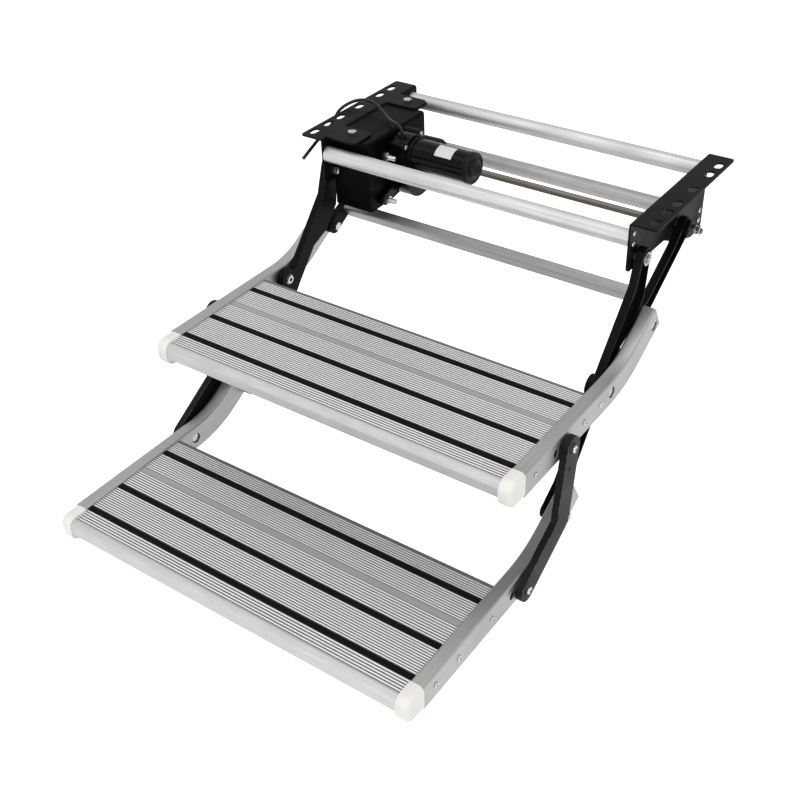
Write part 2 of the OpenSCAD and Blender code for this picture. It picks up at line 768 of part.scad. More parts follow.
module flange_nut(x0, at) {
  difference() {
    union() {
      rod(x0, x0 + nut_flange[1], nut_flange[0], at);
      hex_rod(x0, x0 + low_nut, head_af, at);
    }
    rod(x0 - 1, x0 + low_nut + 1, bolt_d + held_fit, at);
  }
}
module frame_nuts() {
  zinc() {
    both() flange_nut(arm_out + play, pivot_a1);
    left() for (y = ear_bolt_y) bracket_nut(y);
  }
}
module lever_pivot_washers() {
  zinc() both() pipe(plate_out, arm_in - play, bush_d + 2, bolt_d + held_fit, pivot_a1);
}

// Rear arms on the drive shaft
function arm_outline(e) = let (d = unit(pivot_b2 - pivot_a2), n = fore(d), h = heading(d),
    ra = shaft_bush_d/2 + arm_boss[0] - e, rb = bush_d/2 + arm_boss[1] - e,
    f = arm_fore - e, s = arm_rear - e)
  concat(
    arc(pivot_a2, ra, h - 70, h - 290),
    [pivot_a2 + arm_run[0]*d - s*n, pivot_b2 - arm_run[1]*d - s*n],
    arc(pivot_b2, rb, h + 80, h - 80),
    [pivot_b2 - arm_run[1]*d + f*n, pivot_a2 + arm_run[0]*d + f*n]);
function arm_tube_at() = let (d = unit(pivot_b2 - pivot_a2))
  pivot_b2 - arm_tube_back*d - arm_tube_low*fore(d);
module rear_arm() {
  difference() {
    union() {
      channel(arm_in, arm_depth, arm_t) {
        polygon(arm_outline(0));
        polygon(arm_outline(rim_t));
      }
      rod(arm_in, shaft_end, shaft_boss_d, pivot_a2);
    }
    hex_rod(arm_in - 1, shaft_end + 1, hex_af + held_fit, pivot_a2);
    rod(arm_in - 1, arm_out + 1, bolt_d + held_fit, pivot_b2);
    for (p = [-arm_tube_port, arm_tube_port])
      rod(arm_in - 1, arm_out + 1, tube_screw_d + clear_fit, arm_tube_at() + p);
  }
}
module right_rear_arm() {
  steel() rear_arm();
}
module left_rear_arm() {
  steel() left() rear_arm();
}
function arm_tube_section(e) = let (d = unit(pivot_b2 - pivot_a2), c = arm_tube_at())
  [for (p = rounded(arm_tube_w - 2*e, arm_tube_h - 2*e, arm_tube_r - e)) c + p[0]*d + p[1]*fore(d)];
module arm_cross_tube() {
  color([0.75, 0.76, 0.77]) difference() {
    along_x(-arm_in, 2*arm_in) polygon(arm_tube_section(0));
    difference() {
      along_x(-arm_in - 1, 2*arm_in + 2) polygon(arm_tube_section(tube_t));
      for (p = [-arm_tube_port, arm_tube_port])
        rod(-arm_in - 2, arm_in + 2, 2*arm_tube_port_r, arm_tube_at() + p);
    }
    for (p = [-arm_tube_port, arm_tube_port])
      rod(-arm_in - 1, arm_in + 1, tube_screw_d + held_fit, arm_tube_at() + p);
  }
}
module arm_tube_screws() {
  zinc() both() for (p = [-arm_tube_port, arm_tube_port])
    end_screw(arm_in + arm_t, arm_tube_at() + p, tube_screw_d, tube_screw_head);
}
module arm_studs() {
  zinc() both() {
    rod(arm_in - nut_h, arm_out, bolt_d, pivot_b2);
    hex_rod(arm_in - nut_h, arm_in, head_af, pivot_b2);
    hex_rod(arm_in + arm_t, arm_in + arm_t + nut_h, head_af, pivot_b2);
  }
}
module drive_shaft() {
  color([0.4, 0.36, 0.33]) {
    hex_rod(-shaft_end, shaft_end, hex_af, pivot_a2);
    rod(-shaft_end - shaft_tail, shaft_end + shaft_tail, thread_d, pivot_a2);
  }
}
module shaft_bushes() {
  color([0.85, 0.84, 0.8]) both() difference() {
    union() {
      rod(plate_in - 3, arm_in, shaft_bush_d, pivot_a2);
      rod(plate_in - 3 - play, plate_in - play, shaft_bush_d + 6, pivot_a2);
    }
    hex_rod(plate_in - 4, arm_in + 1, hex_af + held_fit, pivot_a2);
  }
}
module shaft_castle_nuts() {
  zinc() both() difference() {
    union() {
      hex_rod(shaft_end, shaft_end + castle_h, head_af, pivot_a2);
      rod(shaft_end + castle_h - 1, shaft_end + castle_top, head_af - 1, pivot_a2);
    }
    rod(shaft_end - 1, shaft_end + castle_top + 1, thread_d + held_fit, pivot_a2);
    for (k = [0:2]) translate([shaft_end + castle_top, pivot_a2[0], pivot_a2[1]]) rotate([60*k, 0, 0])
      cube([2*castle_slot, castle_slot, 2*head_af], center = true);
  }
}
module shaft_clips() {
  clip_x = shaft_end + clip_in;
  zinc() both() {
    rod_z(clip_x, pivot_a2, -clip_reach, -thread_d/2);
    rod_z(clip_x, pivot_a2, thread_d/2, clip_reach);
    translate([clip_x, pivot_a2[0], pivot_a2[1]]) rotate([0, 90, 0]) rotate_extrude()
      translate([(thread_d + clip_d)/2, 0]) circle(d = clip_d);
  }
}
module rod_z(x, at, z0, z1) {
  translate([x, at[0], at[1] + z0]) cylinder(d = clip_d, h = z1 - z0);
}

// Treads: decks, rails, caps and strips in tread coordinates
module at_tread(t) {
  translate([0, t[0], t[1]]) children();
}
function ribs(a, b) = let (n = max(1, floor((b - a)/rib_pitch)), p = (b - a)/n)
  [for (k = [0:n - 1], q = [[0.15, -rib_h], [0.3, 0], [0.7, 0], [0.85, -rib_h]]) [a + (k + q[0])*p, q[1]]];
function groove(s) = let (g = strip_w/2 + held_fit)
  [[s - g, -rib_h], [s - g, -groove_h], [s + g, -groove_h], [s + g, -rib_h]];
function deck_top() = let (g = strip_w/2 + 0.6, b = band_w/2)
  concat(
    ribs(nose_r - nose_l + 3, -g), groove(0), ribs(g, strip_2_y - g), groove(strip_2_y),
    ribs(strip_2_y + g, band_y - b - 0.6),
    [[band_y - b - 0.6, -rib_h], [band_y - b, 0], [band_y + b, 0], [band_y + b + 0.6, -rib_h]],
    ribs(band_y + b + 0.6, strip_3_y - g), groove(strip_3_y), ribs(strip_3_y + g, deck_back - 2));
function deck_outline() = concat(
  arc([nose_r - nose_l, -nose_r], nose_r, 180, 90, 8), deck_top(),
  [[deck_back, -rib_h], [deck_back, -deck_h]],
  arc([4 - nose_l, 4 - deck_h], 4, 270, 180, 4));
module deck() {
  edges = concat([nose_r - nose_l + 6], port_y, [deck_back]);
  alloy() difference() {
    union() {
      difference() {
        along_x(-rail_in, 2*rail_in) polygon(deck_outline());
        for (i = [0:len(edges) - 2])
          translate([-rail_in - 1, edges[i] + leg_t/2, -deck_h - 1])
            cube([2*rail_in + 2, edges[i + 1] - edges[i] - leg_t, deck_h + 1 - skin_t]);
        translate([-rail_in - 1, leg_t - nose_l, leg_t - deck_h])
          cube([2*rail_in + 2, nose_r + 6 - 1.5*leg_t, deck_h - leg_t - nose_r]);
      }
      for (y = port_y) rod(-rail_in, rail_in, 2*port_r, [y, -port_z]);
    }
    for (y = port_y) rod(-rail_in - 1, rail_in + 1, screw_d + held_fit, [y, -port_z]);
  }
}
module grip_strips() {
  w = strip_w/2;
  color([0.06, 0.06, 0.06]) for (s = [0, strip_2_y, strip_3_y]) along_x(-rail_in, 2*rail_in)
    polygon([[s - w, -groove_h], [s + w, -groove_h], [s + w, strip_rise - 0.8], [s + w - 1, strip_rise],
      [s + 1, strip_rise], [s + 0.5, strip_rise - 0.5], [s - 0.5, strip_rise - 0.5], [s - 1, strip_rise],
      [s - w + 1, strip_rise], [s - w, strip_rise - 0.8]]);
}
module rail_sweep(inset, over, tail) {
  reach = bend_r*tan(bend_a/2);
  y0 = bend_y - reach;
  w = rail_w - 2*inset;
  h = rail_h - 2*inset;
  r = rail_r - inset;
  mid_x = rail_in + rail_w/2;
  translate([mid_x, -rail_front - over, rail_mid]) rotate([-90, 0, 0])
    linear_extrude(y0 + rail_front + over) polygon(rounded(w, h, r));
  translate([mid_x, y0, rail_mid + bend_r]) rotate([0, 90, 0]) rotate_extrude(angle = bend_a)
    translate([bend_r, 0]) polygon(rounded(h, w, r));
  translate([mid_x, y0 + bend_r*sin(bend_a), rail_mid + bend_r*(1 - cos(bend_a))]) rotate([bend_a - 90, 0, 0])
    translate([0, 0, -lap]) linear_extrude(tail - reach + over + lap) polygon(rounded(w, h, r));
}
module rail_tube(tail, hole_at) {
  alloy() difference() {
    rail_sweep(0, 0, tail);
    rail_sweep(rail_t, 1, tail);
    through(outer_wall, rail_out, port_hole_d, [hole_at, -port_z]);
    children();
  }
}
module through(x0, x1, d, at) {
  rod(x0 - 1, x1 + 1, d, at);
}
inner_wall = rail_in + rail_t;
outer_wall = rail_out - rail_t;
module upper_rail() {
  at_tread(upper) rail_tube(upper_tail, port_y[1]) {
    for (y = [port_y[0], port_y[2]]) through(rail_in, rail_out, screw_d + held_fit, [y, -port_z]);
    through(outer_wall, rail_out, rivet_d + held_fit, [rivet_back, -port_z]);
    for (p = [pivot_b1, pivot_b2]) {
      through(rail_in, inner_wall, bolt_d + held_fit, p - upper);
      through(outer_wall, rail_out, access_d, p - upper);
    }
    through(outer_wall, rail_out, bolt_d + held_fit, pivot_c - upper);
    through(rail_in, inner_wall, access_d, pivot_c - upper);
  }
}
module lower_rail() {
  at_tread(lower) rail_tube(lower_tail, deck_back + port_hole_d) {
    for (y = port_y) through(rail_in, rail_out, screw_d + held_fit, [y, -port_z]);
    through(rail_in, rail_out, bolt_d + held_fit, pivot_d1 - lower);
    through(outer_wall, rail_out, bolt_d + held_fit, pivot_d2 - lower);
    through(rail_in, inner_wall, access_d, pivot_d2 - lower);
  }
}
module cap() {
  z0 = rail_top - rail_h;
  y0 = -rail_front - cap_l;
  r = cap_r;
  color([0.86, 0.84, 0.78]) {
    intersection() {
      along_x(rail_in, rail_w) polygon(concat(
        [[-rail_front, z0], [-rail_front, rail_top]],
        arc([y0 + r, rail_top - r], r, 90, 180, 8), arc([y0 + r, z0 + r], r, 180, 270, 8)));
      translate([0, 0, z0 - 1]) linear_extrude(rail_h + 2) polygon(concat(
        [[rail_in, -rail_front], [rail_in, y0]],
        arc([rail_out - r, y0 + r], r, 270, 360, 8), [[rail_out, -rail_front]]));
    }
    translate([rail_in + rail_w/2, -rail_front - 1, rail_mid]) rotate([-90, 0, 0]) linear_extrude(18)
      polygon(rounded(rail_w - 2*rail_t - play, rail_h - 2*rail_t - play, rail_r - rail_t));
  }
}
module rail_screw(y) {
  end_screw(rail_out, [y, -port_z], screw_d, screw_head_d);
  rod(rail_in - 22, rail_out - 1, screw_d, [y, -port_z]);
}
module upper_deck() {
  at_tread(upper) deck();
}
module lower_deck() {
  at_tread(lower) deck();
}
module upper_right_rail() {
  upper_rail();
}
module upper_left_rail() {
  left() upper_rail();
}
module lower_right_rail() {
  lower_rail();
}
module lower_left_rail() {
  left() lower_rail();
}
module upper_right_cap() {
  at_tread(upper) cap();
}
module upper_left_cap() {
  left() at_tread(upper) cap();
}
module lower_right_cap() {
  at_tread(lower) cap();
}
module lower_left_cap() {
  left() at_tread(lower) cap();
}
module upper_grip_strips() {
  at_tread(upper) grip_strips();
}
module lower_grip_strips() {
  at_tread(lower) grip_strips();
}
module upper_rail_screws() {
  zinc() at_tread(upper) both() for (y = [port_y[0], port_y[2]]) rail_screw(y);
}
module lower_rail_screws() {
  zinc() at_tread(lower) both() for (y = port_y) rail_screw(y);
}
module upper_rail_rivets() {
  zinc() at_tread(upper) both() {
    rod(outer_wall - 3, rail_out, rivet_d, [rivet_back, -port_z]);
    rod(rail_out, rail_out + 1.6, screw_head_d, [rivet_back, -port_z]);
    rod(outer_wall - 3, outer_wall, rivet_d + 1.6, [rivet_back, -port_z]);
  }
}

// Pivot bolts of the treads and links
module upper_bolts() {
  zinc() both() {
    for (p = [pivot_b1, pivot_b2]) hex_rod(inner_wall, rail_out - head_sink, head_af, p);
    rod(arm_in - play - low_head, inner_wall + 1, bolt_d, pivot_b1);
    hex_rod(arm_in - play - low_head, arm_in - play, head_af, pivot_b1);
    rod(rail_in, inner_wall + 1, bolt_d, pivot_b2);
  }
}
module link_top_bolts() {
  zinc() both() {
    rod(link_face + play, link_face + play + button_h, button_d, pivot_c);
    rod(outer_wall - nut_h, link_face + play + 1, bolt_d, pivot_c);
    hex_rod(rail_in + head_sink, outer_wall, head_af, pivot_c);
  }
}
module link_foot_bolts() {
  zinc() both() {
    rod(link_face, link_face + button_h, button_d, pivot_d2);
    rod(link_in, link_face + 1, bolt_d, pivot_d2);
    rod(link_in + 0.5, link_out - arm_t, bush_d, pivot_d2);
  }
}
module lower_bolts() {
  zinc() both() {
    hex_rod(rail_out, rail_out + head_h, head_af, pivot_d1);
    rod(arm_in - play - low_head, rail_out + 1, bolt_d, pivot_d1);
    hex_rod(arm_in - play - low_head, arm_in - play, head_af, pivot_d1);
    hex_rod(rail_in + head_sink, outer_wall, head_af, pivot_d2);
    rod(outer_wall - nut_h, rail_out, bolt_d, pivot_d2);
  }
}

// Outer links
function link_outline(e) = let (d1 = unit(elbow - pivot_c), d2 = unit(pivot_d2 - elbow), n1 = fore(d1),
    n2 = fore(d2), r = link_half - e, h1 = heading(d1), h2 = heading(d2), nm = unit(n1 + n2))
  concat(
    arc(pivot_c, r, h1 - 90, h1 - 270),
    arc(elbow, r, h1 + 90, h2 + 90, 6),
    arc(pivot_d2, r, h2 + 90, h2 - 90),
    [elbow + r/(nm*n1)*nm]);
module outer_link() {
  color([0.2, 0.21, 0.22]) difference() {
    union() {
      difference() {
        along_x(link_in, link_depth) polygon(link_outline(0));
        along_x(link_in - arm_t, link_depth) polygon(link_outline(rim_t));
      }
      rod(rail_out + play, link_out - 1, bush_d, pivot_c);
      for (p = [pivot_c, pivot_d2]) rod(link_out - lap, link_face, link_ring[0], p);
    }
    rod(rail_out - 1, link_face + 1, bolt_d + run_fit, pivot_c);
    rod(link_in - 1, link_face + 1, bolt_d + held_fit, pivot_d2);
    rod(link_in - 1, link_out + 1, link_hole_d, pivot_c + link_hole);
  }
}
module right_outer_link() {
  outer_link();
}
module left_outer_link() {
  left() outer_link();
}

left_side_plate();
right_side_plate();
front_cross_tube();
rear_upper_tube();
rear_lower_tube();
frame_screws();
motor_bracket();
bracket_bolts();
frame_nuts();
gearbox_housing();
gearbox_cover();
gearbox_bolts();
gearbox_nuts();
motor_clamp_ring();
motor_can();
motor_magnets();
motor_end_cap();
motor_bearings();
motor_armature();
motor_pinion();
idler_spindle();
idler_gear();
output_gear();
cable_gland();
motor_cable();
lever_pivot_bolts();
lever_pivot_washers();
left_front_lever();
right_front_lever();
lever_bushes();
drive_shaft();
shaft_bushes();
shaft_castle_nuts();
shaft_clips();
left_rear_arm();
right_rear_arm();
arm_cross_tube();
arm_tube_screws();
arm_studs();
upper_deck();
upper_left_rail();
upper_right_rail();
upper_left_cap();
upper_right_cap();
upper_grip_strips();
upper_rail_screws();
upper_rail_rivets();
upper_bolts();
link_top_bolts();
left_outer_link();
right_outer_link();
link_foot_bolts();
lower_deck();
lower_left_rail();
lower_right_rail();
lower_left_cap();
lower_right_cap();
lower_grip_strips();
lower_rail_screws();
lower_bolts();
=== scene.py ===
"""Looks of a motor-driven double fold-out caravan step.

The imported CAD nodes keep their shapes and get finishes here. Pieces whose real
form is finer than the CAD (end caps, bolts, screws, the motor's end cover, the
supply cable) are modelled and stand for their nodes. The motor's blank
label is added.
"""
import logging
import math
from abc import ABC, abstractmethod
from dataclasses import dataclass, field, replace
from enum import Enum
from typing import Callable, Sequence

import bmesh
import bpy
from mathutils import Matrix, Vector


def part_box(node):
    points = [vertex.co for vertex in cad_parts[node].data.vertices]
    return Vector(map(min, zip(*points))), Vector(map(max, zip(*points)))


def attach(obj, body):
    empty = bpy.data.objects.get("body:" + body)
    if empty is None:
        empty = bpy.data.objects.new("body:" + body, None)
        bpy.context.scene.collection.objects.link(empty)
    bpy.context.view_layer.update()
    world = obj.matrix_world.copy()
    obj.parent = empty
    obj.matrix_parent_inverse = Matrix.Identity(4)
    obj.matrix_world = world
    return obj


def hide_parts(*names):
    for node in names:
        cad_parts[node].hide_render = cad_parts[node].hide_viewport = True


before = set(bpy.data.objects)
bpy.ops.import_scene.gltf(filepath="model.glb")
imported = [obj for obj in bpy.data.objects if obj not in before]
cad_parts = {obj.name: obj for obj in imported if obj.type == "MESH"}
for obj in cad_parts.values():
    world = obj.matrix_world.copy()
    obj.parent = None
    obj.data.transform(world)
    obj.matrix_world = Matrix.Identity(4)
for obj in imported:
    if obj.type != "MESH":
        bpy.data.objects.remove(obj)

LOG = logging.getLogger("caravan_step")
MM = 0.001
NEAR = 1e-6
STRIPE_BLUR = 0.0002
EDGE_COSINES = (0.8, 0.99)
WHITE = (1.0, 1.0, 1.0, 1.0)
Piece = bpy.types.Object
Socket = bpy.types.NodeSocket
Point = tuple[float, float, float]
Spot = tuple[float, float]
Spots = tuple[Spot, ...]
Span = tuple[float, float]
Colour = tuple[float, float, float]
Tone = Colour | Socket


class Body(Enum):
    """Moving bodies that pieces ride on."""

    FRAME = "frame"
    UPPER = "upper_tread"
    ARMS = "rear_arms"
    LINKS = "outer_links"
    LOWER = "lower_tread"


class Grain(Enum):
    """Stretch of a finish's texture: drawn along one axis, or even."""

    ALONG_X = (0.02, 1.0, 1.0)
    ALONG_Y = (1.0, 0.02, 1.0)
    EVEN = (1.0, 1.0, 1.0)


class Axis(Enum):
    """Axes along which finishes are marked."""

    DEPTH = "Y"
    HEIGHT = "Z"


# ---------------------------------------------------------------- finishes
class Tree:
    """Shorthand for building the nodes of one material."""

    def __init__(self, name: str) -> None:
        """Start a material with one Principled shader.

        Args:
            name: Name of the material.
        """
        self.material = bpy.data.materials.new(name)
        self.material.use_nodes = True
        self.nodes = self.material.node_tree.nodes
        self.shader = self.nodes["Principled BSDF"]

    def add(self, kind: str, **settings: object) -> bpy.types.Node:
        """Add a node and set its properties.

        Args:
            kind: Class name of the node.
            **settings: Properties of the node.

        Returns:
            The new node.
        """
        node = self.nodes.new(kind)
        for key, value in settings.items():
            setattr(node, key, value)
        return node

    def link(self, source: Socket, target: Socket) -> None:
        """Join an output to an input."""
        self.material.node_tree.links.new(source, target)

    def feed(self, name: str, source: Socket) -> None:
        """Join an output to an input of the shader."""
        self.link(source, self.shader.inputs[name])

    def hold(self, name: str, value: object) -> None:
        """Set a constant on an input of the shader."""
        self.shader.inputs[name].default_value = value

    def noise(self, scale: float, grain: Grain = Grain.EVEN, detail: float = 4.0) -> Socket:
        """Noise in object coordinates.

        Args:
            scale: Repeats in one metre.
            grain: How the pattern is drawn out.
            detail: Octaves of the noise.

        Returns:
            The noise value socket.
        """
        coords = self.add("ShaderNodeTexCoord")
        mapping = self.add("ShaderNodeMapping")
        mapping.inputs["Scale"].default_value = grain.value
        texture = self.add("ShaderNodeTexNoise")
        texture.inputs["Scale"].default_value = scale
        texture.inputs["Detail"].default_value = detail
        self.link(coords.outputs["Object"], mapping.inputs["Vector"])
        self.link(mapping.outputs["Vector"], texture.inputs["Vector"])
        return texture.outputs["Fac"]

    def spread(self, value: Socket, low: float, high: float,
               start: float = 0.3, end: float = 0.7) -> Socket:
        """Map a value from one range to another.

        Args:
            value: The value to map.
            low: Result at start.
            high: Result at end.
            start: Value that gives low.
            end: Value that gives high.

        Returns:
            The mapped value socket.
        """
        node = self.add("ShaderNodeMapRange")
        for key, number in zip(("From Min", "From Max", "To Min", "To Max"), (start, end, low, high)):
            node.inputs[key].default_value = number
        self.link(value, node.inputs["Value"])
        return node.outputs["Result"]

    def blend(self, factor: Socket, first: Tone, second: Tone) -> Socket:
        """Mix two colours.

        Args:
            factor: Share of the second colour.
            first: Colour, or a socket that gives it.
            second: Colour, or a socket that gives it.

        Returns:
            The mixed colour socket.
        """
        node = self.add("ShaderNodeMix", data_type="RGBA")
        self.link(factor, node.inputs["Factor"])
        for tone, slot in ((first, node.inputs[6]), (second, node.inputs[7])):
            if isinstance(tone, tuple):
                slot.default_value = (*tone, 1.0)
            else:
                self.link(tone, slot)
        return node.outputs[2]

    def edges(self, radius: float) -> Socket:
        """How close a point lies to a sharp edge.

        Args:
            radius: Width of the edge band in metres.

        Returns:
            A socket near 0 on flats and higher at edges.
        """
        bevel = self.add("ShaderNodeBevel", samples=4)
        bevel.inputs["Radius"].default_value = radius
        geometry = self.add("ShaderNodeNewGeometry")
        dot = self.add("ShaderNodeVectorMath", operation="DOT_PRODUCT")
        self.link(bevel.outputs["Normal"], dot.inputs[0])
        self.link(geometry.outputs["Normal"], dot.inputs[1])
        return self.spread(dot.outputs["Value"], 1.0, 0.0, *EDGE_COSINES)

    def along(self, axis: Axis) -> Socket:
        """A point's place along an axis of the object.

        Args:
            axis: The axis.

        Returns:
            The socket of the place in metres.
        """
        coords = self.add("ShaderNodeTexCoord")
        place = self.add("ShaderNodeSeparateXYZ")
        self.link(coords.outputs["Object"], place.inputs["Vector"])
        return place.outputs[axis.value]

    def stripe(self, start: float, end: float) -> Socket:
        """A stripe across the object's depth.

        Args:
            start: Where it starts in metres.
            end: Where it ends.

        Returns:
            A socket that is 1 in the stripe and 0 elsewhere.
        """
        depth = self.along(Axis.DEPTH)
        after = self.spread(depth, 0.0, 1.0, start - STRIPE_BLUR, start)
        before = self.spread(depth, 1.0, 0.0, end, end + STRIPE_BLUR)
        return self.times(after, before)

    def heights(self, low: float, high: float) -> Socket:
        """A soft step that is 0 up to the low height and 1 from the high one, in metres."""
        return self.spread(self.along(Axis.HEIGHT), 0.0, 1.0, low, high)

    def times(self, first: Socket, second: Socket) -> Socket:
        """Product of two values.

        Args:
            first: One value.
            second: The other value.

        Returns:
            The product socket.
        """
        node = self.add("ShaderNodeMath", operation="MULTIPLY")
        self.link(first, node.inputs[0])
        self.link(second, node.inputs[1])
        return node.outputs["Value"]

    def relief(self, height: Socket, depth: float, strength: float,
               round_edge: float = 0.0) -> None:
        """Give the shader a bump, with softened edges where asked for.

        Args:
            height: Height pattern.
            depth: Height of the pattern in metres.
            strength: Strength of the bump.
            round_edge: Radius of the softened edges in metres, 0 for none.
        """
        bump = self.add("ShaderNodeBump")
        bump.inputs["Strength"].default_value = strength
        bump.inputs["Distance"].default_value = depth
        self.link(height, bump.inputs["Height"])
        if round_edge:
            bevel = self.add("ShaderNodeBevel", samples=4)
            bevel.inputs["Radius"].default_value = round_edge
            self.link(bevel.outputs["Normal"], bump.inputs["Normal"])
        self.feed("Normal", bump.outputs["Normal"])


class Finish(ABC):
    """A surface finish that can be put on pieces and CAD nodes."""

    name: str

    @abstractmethod
    def fill(self, tree: Tree) -> None:
        """Build the finish's nodes."""

    def material(self) -> bpy.types.Material:
        """The finish as a material, built once.

        Returns:
            The material.
        """
        known = bpy.data.materials.get(f"finish_{self.name}")
        if known is not None:
            return known
        tree = Tree(f"finish_{self.name}")
        self.fill(tree)
        return tree.material

    def on_nodes(self, *names: str) -> None:
        """Put the finish on CAD nodes.

        Args:
            *names: Names of the nodes.
        """
        for name in names:
            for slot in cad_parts[name].material_slots:
                slot.material = self.material()

    def on_piece(self, piece: Piece) -> None:
        """Put the finish on a new piece as its only material."""
        piece.data.materials.clear()
        piece.data.materials.append(self.material())


@dataclass(frozen=True)
class Metal(Finish):
    """Bare metal with drawn lines, cloudy oxide and varied roughness."""

    name: str
    dark: Colour
    light: Colour
    rough: Span
    grain: Grain = Grain.EVEN
    lines: float = 900.0
    depth: float = 0.00005
    stain: Colour = (0.2, 0.19, 0.18)
    stained: float = 0.12
    soft: float = 0.0006
    cloud_scale: float = 14.0
    bump: float = 0.35

    def fill(self, tree: Tree) -> None:
        """Build the finish's nodes.

        Args:
            tree: Nodes to add to.
        """
        lines = tree.noise(self.lines, self.grain, detail=3.0)
        clouds = tree.noise(self.cloud_scale, detail=5.0)
        base = tree.blend(tree.spread(lines, 0.0, 1.0), self.dark, self.light)
        colour = tree.blend(tree.spread(clouds, 0.0, self.stained, start=0.45, end=0.75), base, self.stain)
        tree.feed("Base Color", self.tint(tree, colour))
        tree.hold("Metallic", 1.0)
        tree.feed("Roughness", tree.spread(clouds, *self.rough))
        tree.relief(lines, self.depth, self.bump, self.soft)

    def tint(self, tree: Tree, colour: Socket) -> Socket:
        """The colour with the marks of this metal, of which plain metal has none."""
        return colour


@dataclass(frozen=True)
class Decking(Metal):
    """Ribbed deck with painted highlight on the rib tops, painted shade and some dirt in the grooves, a dull
    plain band and a dull rear lip.
    """

    rib_top: float = 0.0
    front: float = 0.0
    rib_height: float = 0.001
    ribs: Span = (-0.028, 0.188)
    band: Span = (0.1012, 0.1116)
    lip: Span = (0.185, 0.1905)
    # Colour and share of the painted highlight on the rib crests.
    bright: Colour = (0.92, 0.915, 0.92)
    crest_highlight: float = 0.55
    plain: Colour = (0.36, 0.355, 0.36)
    lip_tone: Colour = (0.18, 0.177, 0.18)
    # Share of the painted shade, with some dirt, in the grooves between the ribs.
    groove_shade_and_dirt: float = 0.85
    floor_levels: Span = (1.4, 1.2)
    crest_levels: Span = (0.6, 0.1)

    def tint(self, tree: Tree, colour: Socket) -> Socket:
        """The colour with ribs, band, lip and grooves.

        Args:
            tree: Nodes of the finish.
            colour: Colour of the bare metal.

        Returns:
            The marked colour socket.
        """
        ribs, band, lip = (tree.stripe(self.front + start, self.front + end)
                           for start, end in (self.ribs, self.band, self.lip))
        above, tops = (tree.heights(*(self.rib_top - level * self.rib_height for level in levels))
                       for levels in (self.floor_levels, self.crest_levels))
        upper_side = tree.times(ribs, above)
        # Painted highlight: the rib crests are blended towards the bright colour.
        highlight_tone = tree.blend(tree.spread(tops, 0.0, self.crest_highlight, 0.0, 1.0), colour, self.bright)
        # Painted shade with some dirt: the grooves are blended towards the stain colour.
        shaded_and_dirty = tree.blend(tree.spread(tops, self.groove_shade_and_dirt, 0.0, 0.0, 1.0), highlight_tone, self.stain)
        colour = tree.blend(upper_side, colour, shaded_and_dirty)
        colour = tree.blend(band, colour, self.plain)
        return tree.blend(lip, colour, self.lip_tone)


@dataclass(frozen=True)
class Coat(Finish):
    """Powder coat: orange peel, dusty clouds and edges rubbed thinner, their lighter colour also a painted
    edge highlight.
    """

    name: str
    colour: Colour
    dusty: Colour
    # Colour of the rubbed edges, which also serves as a painted edge highlight.
    highlight_tone: Colour
    rough: Span = (0.38, 0.5)
    peel: float = 1100.0
    rub_and_highlight: float = 0.5
    gloss: float = 0.4
    dust: float = 0.6
    cloud_scale: float = 22.0
    rub_width: float = 0.0016
    rub_scale: float = 160.0

    def fill(self, tree: Tree) -> None:
        """Build the finish's nodes.

        Args:
            tree: Nodes to add to.
        """
        peel = tree.noise(self.peel, detail=2.0)
        clouds = tree.noise(self.cloud_scale, detail=6.0)
        base = tree.blend(tree.spread(clouds, 0.0, self.dust), self.colour, self.dusty)
        # Lighter patches along the edges: rubbed coat and a painted edge highlight.
        patches = tree.spread(tree.noise(self.rub_scale), 0.0, self.rub_and_highlight, start=0.4, end=0.7)
        rub = tree.times(tree.edges(self.rub_width), patches)
        tree.feed("Base Color", tree.blend(rub, base, self.highlight_tone))
        tree.feed("Roughness", tree.spread(clouds, *self.rough))
        tree.hold("Specular IOR Level", self.gloss)
        tree.relief(peel, depth=0.00008, strength=0.3, round_edge=0.001)


@dataclass(frozen=True)
class Moulded(Finish):
    """Moulded plastic or rubber: spark-eroded grain and a little sink."""

    name: str
    colour: Colour
    tint: Colour
    rough: Span
    texture: float = 1600.0
    depth: float = 0.00006
    glow: float = 0.0
    specular: float = 0.45
    cloud_scale: float = 30.0
    glow_depth: float = 0.004

    def fill(self, tree: Tree) -> None:
        """Build the finish's nodes.

        Args:
            tree: Nodes to add to.
        """
        fine = tree.noise(self.texture, detail=3.0)
        clouds = tree.noise(self.cloud_scale, detail=4.0)
        tree.feed("Base Color", tree.blend(tree.spread(clouds, 0.0, 1.0), self.colour, self.tint))
        tree.feed("Roughness", tree.spread(clouds, *self.rough))
        tree.hold("Specular IOR Level", self.specular)
        tree.hold("Subsurface Weight", self.glow)
        tree.hold("Subsurface Scale", self.glow_depth)
        tree.relief(fine, self.depth, strength=0.4, round_edge=0.0005)


# The deck's stain colour also paints the shade in the rib grooves.
DECK = Decking("deck_aluminium", (0.43, 0.428, 0.43), (0.54, 0.537, 0.54), (0.6, 0.68), Grain.ALONG_X, 1400.0,
               0.00002, stain=(0.1, 0.098, 0.1), stained=0.04, soft=0.0)
RAIL = Metal("rail_aluminium", (0.325, 0.32, 0.32), (0.37, 0.364, 0.364), (0.42, 0.52), Grain.ALONG_Y, 620.0)
TUBE = Metal("tube_aluminium", (0.45, 0.447, 0.447), (0.57, 0.566, 0.566), (0.5, 0.6), Grain.ALONG_X, 420.0)
# Darker copy of the tube metal: painted shade on the rear lower tube under the upper tube.
SHADED_TUBE = Metal("shaded_tube_aluminium", (0.36, 0.357, 0.353), (0.46, 0.456, 0.45), (0.56, 0.66),
                  Grain.ALONG_X, 420.0)
